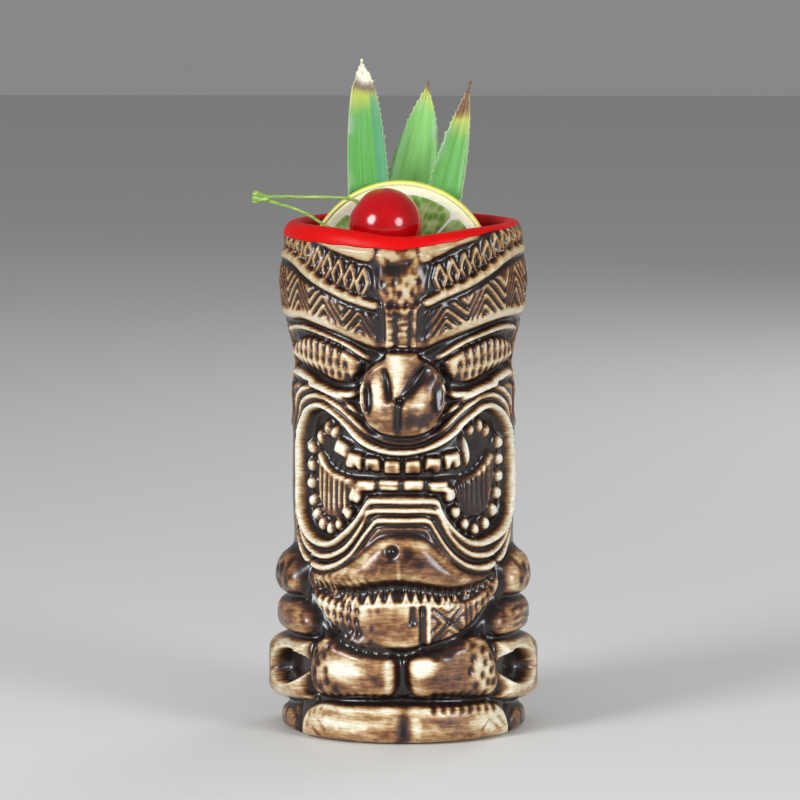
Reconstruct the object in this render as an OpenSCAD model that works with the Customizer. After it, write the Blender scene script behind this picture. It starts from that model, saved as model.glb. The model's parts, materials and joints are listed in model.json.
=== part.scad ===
// Tiki mug with pineapple leaves, a lemon wheel and a pair of cherries.
// Units are mm. The origin is the middle of the base on the table, +Z up, the face towards -Y.

/* [Node] */
// Piece to draw, or all of them

/* [Mug] */
// Height from the table to the top of the lip
mug_height = 161.6; // [120:0.1:200]
// Radius of the lip where it is widest
lip_radius = 37.9; // [30:0.1:48]
// Thickness of the clay wall where it is thinnest, at the eyes
wall_thickness = 3.7; // [2.5:0.1:7]
// Thickness of the clay under the hollow
floor_thickness = 6.2; // [4:0.1:12]
// Thickness of the red glaze skin
lining_thickness = 0.8; // [0.4:0.1:1.5]

/* [Carving] */
// How far the nose stands out of the face
nose_height = 6.6; // [2:0.1:9]
// How far the knees stand out of the belly
knee_height = 3.9; // [1:0.1:6]
// How far the bent elbows stand out of the sides
elbow_height = 6.3; // [2:0.1:8]
// How far the lips stand out of the cheeks
lip_relief = 2.0; // [0.5:0.1:3]
// How far the chin stands out
jaw_height = 3.6; // [1:0.1:5]

/* [Garnish] */
// Diameter of the front cherry
cherry_front_diameter = 23; // [18:0.1:26]
// Diameter of the rear cherry
cherry_rear_diameter = 21; // [16:0.1:24]
// Gap between the lemon wheel's edge and the inside of the mouth
lemon_clearance = 0.5; // [0.3:0.1:4]
// Thickness of the lemon wheel
lemon_thickness = 6; // [3:0.1:8]
// Number of segments in the lemon wheel
lemon_segment_count = 9; // [7:1:12]
// Thickness of a cherry stem
stem_diameter = 1.2; // [0.8:0.1:2]
// Thickness of a leaf along its middle
leaf_thickness = 1.5; // [0.8:0.1:2.5]
// Gap between neighbours: cherry and wheel, wheel and leaf, leaf and leaf, leaf and wall
garnish_clearance = 0.8; // [0.4:0.1:2]
// Depth of the channel along a leaf
leaf_channel = 2.2; // [0.5:0.1:3]
// Half the width of the left leaf at its widest
leaf_left_half_width = 7.0; // [4:0.1:9]
// Half the width of the middle leaf at its widest
leaf_middle_half_width = 7.4; // [4:0.1:9]
// Half the width of the right leaf at its widest
leaf_right_half_width = 5.6; // [4:0.1:8]

/* [Hidden] */

kz = mug_height / 161.6;            // every height follows the mug's height
kr = lip_radius / 37.9;             // every radius follows the lip's radius
columns = 90;                       // faces round the clay body
rows = 54;                          // bands of faces up the clay body
shoulder_z = 156.2;                 // where the red skin starts, before kz

// Shapes a carved feature is made from: a soft bump and a flat-topped pad
function bump(x) = exp(-x * x);
function pad(x) = exp(-pow(abs(x), 4));
function box_pad(x, y) = pad(x) * pad(y);

// Turned shape of the clay before carving: height, radius
profile = [[0, 36.6], [1.6, 37.6], [7, 37.2], [14, 36.9], [30, 36.8], [46, 36.3], [60, 34.9], [75, 35.4], [97, 35.5],
    [101, 34.9], [108, 35.3], [116, 34.1], [124, 35.4], [131, 37.4], [137, 38.4], [143, 39.1], [149, 38.3], [152, 38.0], [shoulder_z, 38.3]];
function turned(z) = (lookup(z - 1.2, profile) + 2 * lookup(z, profile) + lookup(z + 1.2, profile)) / 4;

// Carved relief. u is the distance round the body from the middle of the face, z the height
function rail_z(a) = lookup(a, [[0, 137.6], [7, 138.3], [16, 141.6], [25, 145.4], [38, 150.6], [50, 152.4]]);
function brow_z(a) = lookup(a, [[0, 123], [5, 124.3], [13, 127], [26, 131.2], [40, 132.8], [60, 132]]);
function lip_top(a) = lookup(a, [[0, 91.4], [6, 92.2], [12, 94], [17, 97], [22, 101], [27, 104], [32, 104.8], [38, 101], [43, 92], [46, 83]]);
function lip_low(a) = lookup(a, [[0, 76.9], [10.5, 76.8], [13.5, 72], [18, 66.3], [23, 63], [28, 62], [34, 63], [40, 67.5], [43, 73], [46, 83]]);
function jaw_mid(a) = lookup(a, [[0, 58.3], [9, 57], [17, 53.6], [25, 51.2], [34, 52.4]]);
function jaw_half(a) = lookup(a, [[0, 7.6], [9, 6.8], [17, 4.4], [25, 2.9], [34, 2.6]]);

function brow(a, z) = let(d = z - rail_z(a)) a > 66 ? 0
    : 1.1 * bump(d / 1.7)
    + (z < rail_z(a) && z > brow_z(a) ? 0.5 : 0)
    - (a < 40 ? 1.5 * bump((z - brow_z(a) + 2.6) / 2.0) * pad((a - 22) / 22) : 0);
function eye(a, z) = let(zc = 120.6 + (a - 29) * 0.20)
    1.6 * bump((a - 29.5) / 12) * bump((z - zc) / 5) - 1.0 * bump((a - 25) / 16) * bump((z - zc + 8.6) / 1.7);
function nose(a, z) = z < 105.5
    ? nose_height * pad(a / 11.2) * pad((z - 105.5) / 8.2)
    : nose_height * pad(a / (11.2 - 0.26 * min(z - 105.5, 22))) * bump((z - 105.5) / 15.5)
      + 0.8 * pad(a / 6) * pad((z - 132) / 16);
function mouth(a, z) = a > 52 ? 0 : let(t = lip_top(min(a, 39)), b = lip_low(min(a, 39)))
    lip_relief * (bump((z - t) / 2.4) + bump((z - b) / 2.4)) * pad(a / 41)
    + lip_relief * bump((a - 41.5) / 2.8) * pad((z - 83) / 15)
    + 0.7 * pad((a - 20) / 28) * pad((z - 84) / 27)
    - 2.0 * pad((z - (t + b) / 2) / max(2, (t - b) / 2 - 0.8)) * pad(a / 39);
function jaw(a, z) = a > 38 ? 0 : jaw_height * pad((z - jaw_mid(a)) / jaw_half(a)) * pad(a / 35);
function bib(a, z) = 1.1 * box_pad(a / 33, (z - 38.5) / 7.5) - 1.2 * bump(a / 26) * bump((z - 47) / 1.6);
function knees(a, z) = knee_height * box_pad((a - 14.6) / 13.2, (z - 23.4) / 9.6);
function feet(a, z) = 2.8 * box_pad(a / 37, (z - 5.2) / 7.2) - 0.9 * bump(a / 2.2) * pad((z - 6) / 8);
function arms(a, z) =
      4.9 * bump((a - 52) / 9) * bump((z - 50) / 6.4)
    + 3.6 * pad((a - 49) / 16) * bump((z - 36.6) / 4.6)
    + elbow_height * box_pad((a - 52) / 23, (z - 17.6) / 9.8)
    - 4.8 * box_pad((a - 39.5) / 8, (z - 20.6) / 4.6);
function back(a, z) =
      3.0 * box_pad((a - 92) / 15, (z - 18) / 12)
    + 1.4 * pad((a - 113) / 16) * pad((z - 95) / 36)
    + 0.9 * pad((a - 113) / 30) * pad((z - 38) / 12);
function carved(a, z) = brow(a, z) + eye(a, z) + nose(a, z) + mouth(a, z) + jaw(a, z) + bib(a, z) + knees(a, z)
    + feet(a, z) + arms(a, z) + back(a, z);
function fade(z) = z > 152.5 ? max(0, (155 - z) / 2.5) : z < 1 ? 0.8 : 1;

// The lip of clay above the shoulder, under the red skin: height, radius
lip_clay = [[shoulder_z + 0.3, 37.1], [158.4, 36.8], [159.8, 36.1], [160.8, 34.9]];
heights = concat([for (i = [0 : rows]) i < 1 ? 0 : shoulder_z * (i * 1.0) / rows], [for (p = lip_clay) p[0]]);
function skin(i, u) = i <= rows ? turned(heights[i]) + fade(heights[i]) * carved(abs(u), heights[i]) : lip_clay[i - rows - 1][1];

module clay_outside() {
    n = columns;
    top = len(heights) - 1;
    pts = [for (k = [0 : top]) for (i = [0 : n - 1])
        let(t = i * 360 / n, u = (t > 180 ? t - 360 : t) * PI / 5, r = kr * skin(k, u))
        [r * sin(t), -r * cos(t), kz * heights[k]]];
    sides = [for (k = [0 : top - 1]) for (i = [0 : n - 1]) let(j = (i + 1) % n, p = k * n, q = p + n)
        each [[p + i, q + i, q + j], [p + i, q + j, p + j]]];
    polyhedron(pts, concat([[for (i = [0 : n - 1]) i], [for (i = [0 : n - 1]) top * n + n - 1 - i]], sides), convexity = 12);
}

// The hollow to the red glaze, from the middle of the floor up to the inside of the lip: radius, height
rh = 34.1 * kr - wall_thickness - lining_thickness;
fz = floor_thickness + lining_thickness;
hollow = [[0, fz], [rh - 7.6, fz], [rh - 2.4, fz + 1.5], [rh - 0.5, fz + 5], [rh, fz + 9], [rh, 122 * kz],
    [(rh + 32.2 * kr) / 2, 131 * kz], [31.7 * kr, 140 * kz], [32.1 * kr, 147 * kz], [32.2 * kr, 153 * kz], [32.2 * kr, 160 * kz]];
tl = lining_thickness;
clay_hollow = concat([[0, fz - tl], [rh - 7.2, fz - tl], [rh - 1.8, fz + 0.9], [rh + tl - 0.45, fz + 4.6], [rh + tl, fz + 9]],
    [for (i = [5 : 10]) [hollow[i][0] + tl, hollow[i][1]]]);
lip_over = [[32.4, 160.7], [33.2, 161.35], [34.2, 161.6], [35.3, 161.45], [36.4, 160.8], [37.3, 159.6], [37.8, 158.2], [37.9, 157], [37.9, shoulder_z + 0.3]];

module ceramic_body() color("ivory") difference() {
    clay_outside();
    rotate_extrude($fn = 96) polygon(concat(clay_hollow, [[clay_hollow[10][0], mug_height + 2], [0, mug_height + 2]]));
}

module red_glaze_lining() color("red") rotate_extrude($fn = 96)
    polygon(concat(hollow, [for (p = lip_over) [p[0] * kr, p[1] * kz]], [for (p = lip_clay) [p[1] * kr + 0.03, p[0] * kz]],
        [[clay_hollow[10][0], 160.8 * kz]], [for (i = [10 : -1 : 0]) clay_hollow[i]]));

// A leaf standing on its foot at the origin, with its hollow side towards -Y
module leaf(length, half_width, taper, power, foot) {
    stations = 22;
    across = [-1, -0.6, -0.25, 0, 0.25, 0.6, 1];
    m = len(across);
    pts = [for (k = [0 : stations])
        let(s = pow(k / stations, 0.8), z = length * s, d = length - z,
            w = max(0.5, half_width * (1 - exp(-pow((d + 0.6) / taper, power))) * (foot + (1 - foot) * min(1, s / 0.55))),
            c = leaf_channel * w / half_width)
        each concat([for (t = across) [t * w, -c * pow(abs(t), 1.6) - leaf_thickness * (0.5 - 0.28 * abs(t)) * min(1, w / 3 + 0.2), z]],
            [for (i = [m - 1 : -1 : 0]) let(t = across[i]) [t * w, -c * pow(abs(t), 1.6) + leaf_thickness * (0.5 - 0.28 * abs(t)) * min(1, w / 3 + 0.2), z]])];
    n = 2 * m;
    sides = [for (k = [0 : stations - 1]) for (i = [0 : n - 1]) let(j = (i + 1) % n, p = k * n, q = p + n)
        each [[p + i, q + i, q + j], [p + i, q + j, p + j]]];
    polyhedron(pts, concat([[for (i = [0 : n - 1]) i], [for (i = [0 : n - 1]) stations * n + n - 1 - i]], sides), convexity = 4);
}

// Lemon wheel: a disc across the mouth, its axis along Y
cf = cherry_front_diameter / 2;
cr = cherry_rear_diameter / 2;
cherry_y = -(32.2 * kr - garnish_clearance - cf) + 1.4;
lemon_front_y = cherry_y + cf + garnish_clearance;
lemon_at = [-1.0, lemon_front_y + lemon_thickness, 144.6 * kz];
lemon_deep = max(abs(lemon_front_y), abs(lemon_at[1]));
lemon_r = sqrt(pow(31.9 * kr - lemon_clearance, 2) - pow(lemon_deep, 2)) - abs(lemon_at[0]);
rind_t = 1.3;
pith_t = 2.6;
flesh_r = lemon_r - rind_t - pith_t;
module lemon_place() translate(lemon_at) rotate([90, 0, 0]) children();

module lemon_rind() color("gold") lemon_place() linear_extrude(lemon_thickness) difference() {
    circle(lemon_r, $fn = 96);
    circle(lemon_r - rind_t, $fn = 96);
}
// One wedge of flesh, standing half a skin's width clear of its neighbours
module wedge(i) {
    step = 360 / lemon_segment_count;
    half_skin = 0.6;
    a0 = i * step + 8;
    inner = 3.2;
    corner = 1.6;
    function edge(r, side) = a0 + (side > 0 ? step - asin(half_skin / r) : asin(half_skin / r));
    function at(r, a) = [r * cos(a), r * sin(a)];
    polygon(concat([at(inner, (edge(inner, -1) + edge(inner, 1)) / 2), at(inner + 1.4, edge(inner + 1.4, -1))],
        [at(flesh_r - corner, edge(flesh_r - corner, -1))],
        [for (k = [0 : 6]) let(a = edge(flesh_r, -1) + 3 + (edge(flesh_r, 1) - edge(flesh_r, -1) - 6) * k / 6) at(flesh_r, a)],
        [at(flesh_r - corner, edge(flesh_r - corner, 1)), at(inner + 1.4, edge(inner + 1.4, 1))]));
}
module lemon_pith() color("lightyellow") lemon_place() linear_extrude(lemon_thickness) difference() {
    circle(lemon_r - rind_t, $fn = 96);
    for (i = [0 : lemon_segment_count - 1]) wedge(i);
}
module lemon_segments() color("yellow") lemon_place() linear_extrude(lemon_thickness)
    for (i = [0 : lemon_segment_count - 1]) wedge(i);

// Each leaf stands in a layer of its own behind the lemon wheel, so that it lifts out past the others.
// The two at the back have their feet against the wall.
layer = leaf_channel + leaf_thickness + garnish_clearance;
left_y = lemon_at[1] + layer - leaf_thickness / 2;
right_y = left_y + layer;
middle_y = right_y + layer;
function wall_foot(y, half) = -(sqrt(pow(rh - 0.5 - garnish_clearance, 2) - pow(y + 1, 2)) - half);
function lean_to(foot, foot_z, tip, tip_z) = atan((tip * kr - foot) / (tip_z * kz - foot_z));
middle_base = 0.55;                 // width of a leaf's foot as a share of its widest
right_base = 0.5;
left_foot = -2.5 * kr;
middle_foot = wall_foot(middle_y, leaf_middle_half_width * kr * middle_base);
right_foot = wall_foot(right_y, leaf_right_half_width * kr * right_base);
left_z = fz + 0.5;
middle_z = fz + 5.2;
right_z = fz + 5.2;
left_lean = lean_to(left_foot, left_z, -13.2, 212.3);
middle_lean = lean_to(middle_foot, middle_z, 7.5, 204.6);
right_lean = lean_to(right_foot, right_z, 20.9, 204.9);

module pineapple_leaf_left() color("green") translate([left_foot, left_y, left_z]) rotate([0, left_lean, 0])
    leaf((212.3 * kz - left_z) / cos(left_lean), leaf_left_half_width * kr, 13.5, 1.0, 0.7);
module pineapple_leaf_middle() color("green") translate([middle_foot, middle_y, middle_z]) rotate([0, middle_lean, 0])
    leaf((204.6 * kz - middle_z) / cos(middle_lean), leaf_middle_half_width * kr, 16.5, 1.25, middle_base);
module pineapple_leaf_right() color("green") translate([right_foot, right_y, right_z]) rotate([0, right_lean, 0])
    leaf((204.9 * kz - right_z) / cos(right_lean), leaf_right_half_width * kr, 20, 1.2, right_base);

// Cherries: one over the other, between the lemon and the front of the lip
front_at = [-5.4, cherry_y, mug_height + 0.2];
rear_at = [-8.8, lemon_front_y - garnish_clearance - cr, mug_height + 0.2 - sqrt(pow(cf + cr + 0.5, 2) - 3.4 * 3.4 - 0.81)];
stem_r = stem_diameter / 2;
knob_at = [-42.6 * kr, cherry_y, mug_height + 8.2];

module cherry(d) intersection() {
    sphere(d = d, $fn = 48);
    difference() {
        cube(2 * d, center = true);
        translate([0, 0, d / 2 + 1.1]) sphere(r = 2.4, $fn = 32);
    }
}
module cherry_front() color("crimson") translate(front_at) rotate([0, -52, 0]) cherry(cherry_front_diameter);
module cherry_rear() color("crimson") translate(rear_at) rotate([0, -28, 0]) cherry(cherry_rear_diameter);

// A stem is a round tube along a smooth curve through a few points
function spline(p, i, t) = let(a = p[max(i - 1, 0)], b = p[i], c = p[i + 1], d = p[min(i + 2, len(p) - 1)])
    0.5 * (2 * b + (c - a) * t + (2 * a - 5 * b + 4 * c - d) * t * t + (3 * b - a - 3 * c + d) * t * t * t);
function unit(v) = v / norm(v);
module tube(p, r, steps, sides) {
    line = concat([for (i = [0 : len(p) - 2]) for (k = [0 : steps - 1]) spline(p, i, k / steps)], [p[len(p) - 1]]);
    last = len(line) - 1;
    pts = [for (k = [0 : last])
        let(f = unit(line[min(k + 1, last)] - line[max(k - 1, 0)]), s = unit(cross(f, [0, 1, 0])), w = cross(f, s))
        for (i = [0 : sides - 1]) let(a = -i * 360 / sides) line[k] + r * (cos(a) * s + sin(a) * w)];
    faces = [for (k = [0 : last - 1]) for (i = [0 : sides - 1]) let(j = (i + 1) % sides, a = k * sides, b = a + sides)
        each [[a + i, b + i, b + j], [a + i, b + j, a + j]]];
    polyhedron(pts, concat([[for (i = [0 : sides - 1]) i], [for (i = [0 : sides - 1]) last * sides + sides - 1 - i]], faces), convexity = 6);
}
pit_front = front_at + (cf - 1.4) * [-sin(52), 0, cos(52)];
pit_rear = rear_at + (cr - 1.4) * [-sin(28), 0, cos(28)];
module cherry_stem_front() color("yellowgreen")
    tube([pit_front, pit_front + 2.4 * [-sin(58), 0, cos(58)], [-20 * kr, cherry_y, mug_height + 8.7], [-31.8 * kr, cherry_y, mug_height + 8.9], knob_at + [0.4, 0, 0.35]], stem_r, 6, 10);
module cherry_stem_rear() color("yellowgreen")
    tube([pit_rear, pit_rear + 3 * [-sin(30), 0, cos(30)], [-22.1 * kr, cherry_y, mug_height - 1.8], [-26.0 * kr, cherry_y, mug_height + 1.0],
        [-29.6 * kr, cherry_y, mug_height + 3.3], [-34 * kr, cherry_y, mug_height + 5.2], knob_at + [0.4, 0, -0.35]], stem_r, 5, 10);
module stem_knob() color("yellowgreen") translate(knob_at) rotate([0, -84, 0]) rotate_extrude($fn = 32)
    polygon([[0, -1.0], [1.1, -0.9], [1.35, 0.3], [1.7, 1.6], [2.15, 2.8], [2.2, 3.6], [1.7, 4.3], [0.8, 4.6], [0, 4.6]]);

ceramic_body();
red_glaze_lining();
pineapple_leaf_left();
pineapple_leaf_middle();
pineapple_leaf_right();
lemon_rind();
lemon_pith();
lemon_segments();
cherry_front();
cherry_rear();
cherry_stem_front();
cherry_stem_rear();
stem_knob();
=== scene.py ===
"""Tiki mug with its garnish: the looks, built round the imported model."""

import json
import math

import bmesh
import bpy
import numpy as np
from mathutils import Matrix, Vector


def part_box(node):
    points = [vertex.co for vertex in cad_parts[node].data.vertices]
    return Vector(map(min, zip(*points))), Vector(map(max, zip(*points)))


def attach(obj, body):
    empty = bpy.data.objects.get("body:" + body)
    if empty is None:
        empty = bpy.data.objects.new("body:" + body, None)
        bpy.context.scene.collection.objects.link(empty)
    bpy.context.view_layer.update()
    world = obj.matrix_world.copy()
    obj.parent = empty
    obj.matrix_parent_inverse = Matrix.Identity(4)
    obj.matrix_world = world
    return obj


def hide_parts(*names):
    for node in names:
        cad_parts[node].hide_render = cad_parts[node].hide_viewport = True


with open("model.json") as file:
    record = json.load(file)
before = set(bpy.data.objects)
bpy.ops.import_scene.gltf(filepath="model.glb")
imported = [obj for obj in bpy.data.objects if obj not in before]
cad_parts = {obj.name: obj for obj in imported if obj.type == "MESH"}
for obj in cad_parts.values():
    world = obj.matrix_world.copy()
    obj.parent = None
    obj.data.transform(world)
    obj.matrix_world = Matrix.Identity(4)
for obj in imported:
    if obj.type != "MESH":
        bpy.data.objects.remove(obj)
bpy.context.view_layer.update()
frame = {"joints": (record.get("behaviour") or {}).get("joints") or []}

bl_info = {
    "name": "Tiki mug",
    "version": (1, 0, 0),
    "blender": (4, 5, 0),
    "location": "View3D > Sidebar > Tiki",
    "description": "Builds a carved, stained and glazed tiki mug with its garnish",
    "category": "Object",
}

MM = 0.001


# ---------------------------------------------------------------- colours and nodes
def linear(code):
    """An sRGB hex colour as linear RGBA."""
    parts = [int(code[i : i + 2], 16) / 255 for i in (1, 3, 5)]
    return tuple(c / 12.92 if c <= 0.04045 else ((c + 0.055) / 1.055) ** 2.4 for c in parts) + (1.0,)


def add(tree, kind, settings=None, links=None):
    """Adds a node, sets its properties or sockets, and links its inputs."""
    node = tree.nodes.new(kind)
    for key, value in (settings or {}).items():
        if isinstance(key, str) and hasattr(node, key):
            setattr(node, key, value)
        else:
            node.inputs[key].default_value = value
    for key, socket in (links or {}).items():
        tree.links.new(socket, node.inputs[key])
    return node


def ramp(tree, factor, stops):
    """A colour ramp; a stop is a place and a hex colour or a grey value."""
    node = add(tree, "ShaderNodeValToRGB", None, {"Fac": factor})
    while len(node.color_ramp.elements) < len(stops):
        node.color_ramp.elements.new(0.5)
    for element, (place, colour) in zip(node.color_ramp.elements, stops):
        element.position = place
        element.color = linear(colour) if isinstance(colour, str) else (colour, colour, colour, 1)
    return node


def surface(name, **settings):
    """A material with its shader, and the position on the piece in metres."""
    material = bpy.data.materials.new(name)
    material.use_nodes = True
    tree = material.node_tree
    shader = tree.nodes["Principled BSDF"]
    for key, value in settings.items():
        shader.inputs[key.replace("_", " ")].default_value = value
    place = add(tree, "ShaderNodeTexCoord").outputs["Object"]
    return material, tree, shader, place


def math_node(tree, operation, *values):
    """Arithmetic on numbers or sockets; returns the result's socket."""
    settings, links = {"operation": operation}, {}
    for i, v in enumerate(values):
        if isinstance(v, (int, float)):
            settings[i] = v
        else:
            links[i] = v
    return add(tree, "ShaderNodeMath", settings, links).outputs[0]


def noise(tree, place, scale, detail, roughness=0.5):
    """Cloudy values round 0.5; scale counts the marks in a metre."""
    settings = {"Scale": scale, "Detail": detail, "Roughness": roughness}
    return add(tree, "ShaderNodeTexNoise", settings, {"Vector": place}).outputs["Fac"]


def remap(tree, value, before, after):
    """Carries one range of a value over to another, and stops at its ends."""
    settings = {"From Min": before[0], "From Max": before[1], "To Min": after[0], "To Max": after[1]}
    return add(tree, "ShaderNodeMapRange", settings, {"Value": value}).outputs[0]


def mix_colour(tree, factor, a, b, blend="MIX"):
    node = tree.nodes.new("ShaderNodeMix")
    node.data_type, node.blend_type = "RGBA", blend
    for socket, v in ((node.inputs[0], factor), (node.inputs[6], a), (node.inputs[7], b)):
        if isinstance(v, bpy.types.NodeSocket):
            tree.links.new(v, socket)
        else:
            socket.default_value = v
    return node.outputs[2]


def attribute(tree, name):
    return add(tree, "ShaderNodeAttribute", {"attribute_name": name}).outputs["Fac"]


# ---------------------------------------------------------------- pieces
def finish_piece(name, mesh, material, node, body):
    """Puts a mesh in the scene on its body, in place of its CAD node."""
    mesh.polygons.foreach_set("use_smooth", [True] * len(mesh.polygons))
    piece = bpy.data.objects.new(name, mesh)
    bpy.context.scene.collection.objects.link(piece)
    mesh.materials.append(material)
    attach(piece, body)
    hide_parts(node)


def points_of(mesh):
    co = np.empty(len(mesh.vertices) * 3)
    mesh.vertices.foreach_get("co", co)
    return co.reshape(-1, 3)


def set_points(mesh, co):
    mesh.vertices.foreach_set("co", co.ravel())
    mesh.update()


def store(mesh, name, values):
    layer = mesh.attributes.new(name, "FLOAT", "POINT")
    layer.data.foreach_set("value", np.asarray(values, np.float32))


def mesh_from(bm, name):
    mesh = bpy.data.meshes.new(name)
    bm.to_mesh(mesh)
    bm.free()
    return mesh


def turned_mesh(name, outline, steps):
    """Spins an outline of (radius, height) in mm round the upright axis into a closed mesh."""
    bm = bmesh.new()
    verts = [bm.verts.new((0, -r * MM, z * MM)) for r, z in outline]
    edges = [bm.edges.new(pair) for pair in zip(verts[:-1], verts[1:])]
    bmesh.ops.spin(bm, geom=verts + edges, cent=(0, 0, 0), axis=(0, 0, 1),
        angle=2 * math.pi, steps=steps, use_merge=True)
    bmesh.ops.remove_doubles(bm, verts=[v for v in bm.verts if math.hypot(v.co.x, v.co.y) < 1e-6],
        dist=1e-5)
    bmesh.ops.recalc_face_normals(bm, faces=bm.faces)
    return mesh_from(bm, name)


# ---------------------------------------------------------------- carving map
# The carving is worked out on a map of the outside: u is mm round the body from the middle
# of the face on a girth of 36 mm radius, positive to the right, and z is the height in mm.
STEP = 0.3
GIRTH = 36
COLS = int(round(2 * math.pi * GIRTH / STEP))
ROWS = 545
U0 = -COLS * STEP / 2


class Carving:
    """Height of the carving in mm, and how much stain lies in it over the map, together with the painted
    highlights and painted shadow laid into that map.
    """

    def __init__(self):
        self.height = np.zeros((ROWS, COLS))
        self.stain_and_painted_light = np.zeros((ROWS, COLS))

    def window(self, lo, hi):
        """The part of the map between two corners: its indices, and its u and z as a grid."""
        i = np.arange(int((lo[0] - U0) / STEP), int((hi[0] - U0) / STEP) + 2)
        k = np.arange(max(0, int(lo[1] / STEP)), min(ROWS, int(hi[1] / STEP) + 2))
        return np.ix_(k, i % COLS), (U0 + STEP * i)[None, :], (STEP * k)[:, None]

    def distance(self, line, reach):
        """Within reach of a line: the distance D to it, and T, how far along it the nearest place is."""
        lo, hi = line.min(0) - reach, line.max(0) + reach
        where, U, Z = self.window(lo, hi)
        D = np.full((Z.size, U.size), 1e3)
        T = np.zeros_like(D)
        run = np.concatenate([[0], np.cumsum(np.hypot(*np.diff(line, axis=0).T))])
        for j, (a, b) in enumerate(zip(line[:-1], line[1:])):
            c0, c1 = np.searchsorted(U[0], [min(a[0], b[0]) - reach, max(a[0], b[0]) + reach])
            r0, r1 = np.searchsorted(Z[:, 0], [min(a[1], b[1]) - reach, max(a[1], b[1]) + reach])
            if c1 <= c0 or r1 <= r0:
                continue
            u, z = U[:, c0:c1], Z[r0:r1]
            d = b - a
            t = np.clip(((u - a[0]) * d[0] + (z - a[1]) * d[1]) / max(1e-9, d @ d), 0, 1)
            near = np.hypot(u - a[0] - t * d[0], z - a[1] - t * d[1])
            old = D[r0:r1, c0:c1]
            closer = near < old
            old[closer] = near[closer]
            T[r0:r1, c0:c1][closer] = ((run[j] + t * math.sqrt(d @ d)) / run[-1])[closer]
        return where, U, Z, D, T

    def line(self, pts, width, height, stain_and_painted_light=0.0, closed=False, sharp=False, power=2, taper=0.0, limit=None):
        """A ridge (height above 0) or a groove (below 0) along a line, with stain laid in it."""
        path = straight(pts, closed) if sharp else smooth(pts, closed)
        where, U, Z, D, T = self.distance(path, width * 2.6)
        shape = np.exp(-((D / width) ** power))
        if taper:
            shape *= np.clip(np.minimum(T, 1 - T) / taper, 0, 1) ** 0.6
        if limit is not None:
            shape *= limit(U, Z)
        self.height[where] += height * shape
        self.stain_and_painted_light[where] += stain_and_painted_light * shape

    def form(self, pts, height, edge, stain_and_painted_light=0.0, sharp=False, level=None):
        """A pillow with a rounded edge inside a closed outline; negative height sinks it.
        With a level, the ground inside is first evened out to that height."""
        path = straight(pts, True) if sharp else smooth(pts, True)
        where, U, Z, D, _ = self.distance(path, max(abs(edge), 0.6))
        deep = np.where(inside_of(path, U, Z), np.minimum(D, 1e2), 0)
        s = np.clip(deep / edge, 0, 1)
        shape = np.sqrt(np.clip(1 - (1 - s) ** 2, 0, 1))
        if level is not None:
            self.height[where] += (level - self.height[where]) * np.clip(deep / 0.8, 0, 1)
        self.height[where] += height * shape
        self.stain_and_painted_light[where] += stain_and_painted_light * shape

    def lump(self, pts, height, edge, stain_and_painted_light, level, soften=0.9):
        """A form with its creases rounded off, like pressed clay."""
        rounded = Carving()
        rounded.form(pts, height, edge)
        self.form(pts, 0.0, 1.0, stain_and_painted_light, level=level)
        self.height += blur(rounded.height, soften)

    def rim(self, pts, inset, width, height, stain_and_painted_light):
        """A line that runs inside a closed outline, at the same distance from it all round."""
        path = smooth(pts, True)
        where, U, Z, D, _ = self.distance(path, inset + 2.4 * width)
        shape = np.exp(-(((D - inset) / width) ** 2)) * inside_of(path, U, Z)
        self.height[where] += height * shape
        self.stain_and_painted_light[where] += stain_and_painted_light * shape

    def dents(self, spots, ru, rz, depth, stain_and_painted_light=0.0, turn=0.0, power=2.0):
        """Oval dents (depth above 0) or beads (below 0) at (u, z) or (u, z, turn, scale)."""
        for spot in spots:
            u, z = spot[:2]
            a = math.radians(spot[2] if len(spot) > 2 else turn)
            k = spot[3] if len(spot) > 3 else 1.0
            reach = max(ru, rz) * k * 2.0
            where, U, Z = self.window((u - reach, z - reach), (u + reach, z + reach))
            if Z.size == 0:
                continue
            x = ((U - u) * math.cos(a) + (Z - z) * math.sin(a)) / (ru * k)
            y = (-(U - u) * math.sin(a) + (Z - z) * math.cos(a)) / (rz * k)
            if power >= 6:  # a block with square shoulders
                shape = np.exp(-(x**power + y**power))
            else:
                shape = np.exp(-((x * x + y * y) ** (power / 2)))
            self.height[where] -= depth * shape
            self.stain_and_painted_light[where] += stain_and_painted_light * shape

    def stain_and_highlight_patch(self, u0, z0, ru, rz, amount, grain, seed, cover=0.0):
        """Brushed, broken stain in a soft oval patch; a negative amount lays a broken lighter patch
        instead, which also serves for painted highlights. Grain is the size of its marks in mm.
        """
        where, U, Z = self.window((u0 - 1.8 * ru, z0 - 1.8 * rz), (u0 + 1.8 * ru, z0 + 1.8 * rz))
        patch = np.exp(-((((U - u0) / ru) ** 2 + ((Z - z0) / rz) ** 2) ** 1.4))
        marks = grit(U, Z, seed, (grain[0], grain[1], 0.65), (grain[0] * 0.4, grain[1] * 0.55, 0.45))
        self.stain_and_painted_light[where] += amount * patch * soft(marks + cover, -0.08, 0.28)


def inside_of(path, U, Z):
    """True where a place on the map lies inside a closed path."""
    inside = np.zeros((Z.size, U.size), bool)
    for a, b in zip(path[:-1], path[1:]):
        if a[1] != b[1]:
            inside ^= ((a[1] > Z) != (b[1] > Z)) & (U < (b[0] - a[0]) * (Z - a[1]) / (b[1] - a[1]) + a[0])
    return inside


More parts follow.
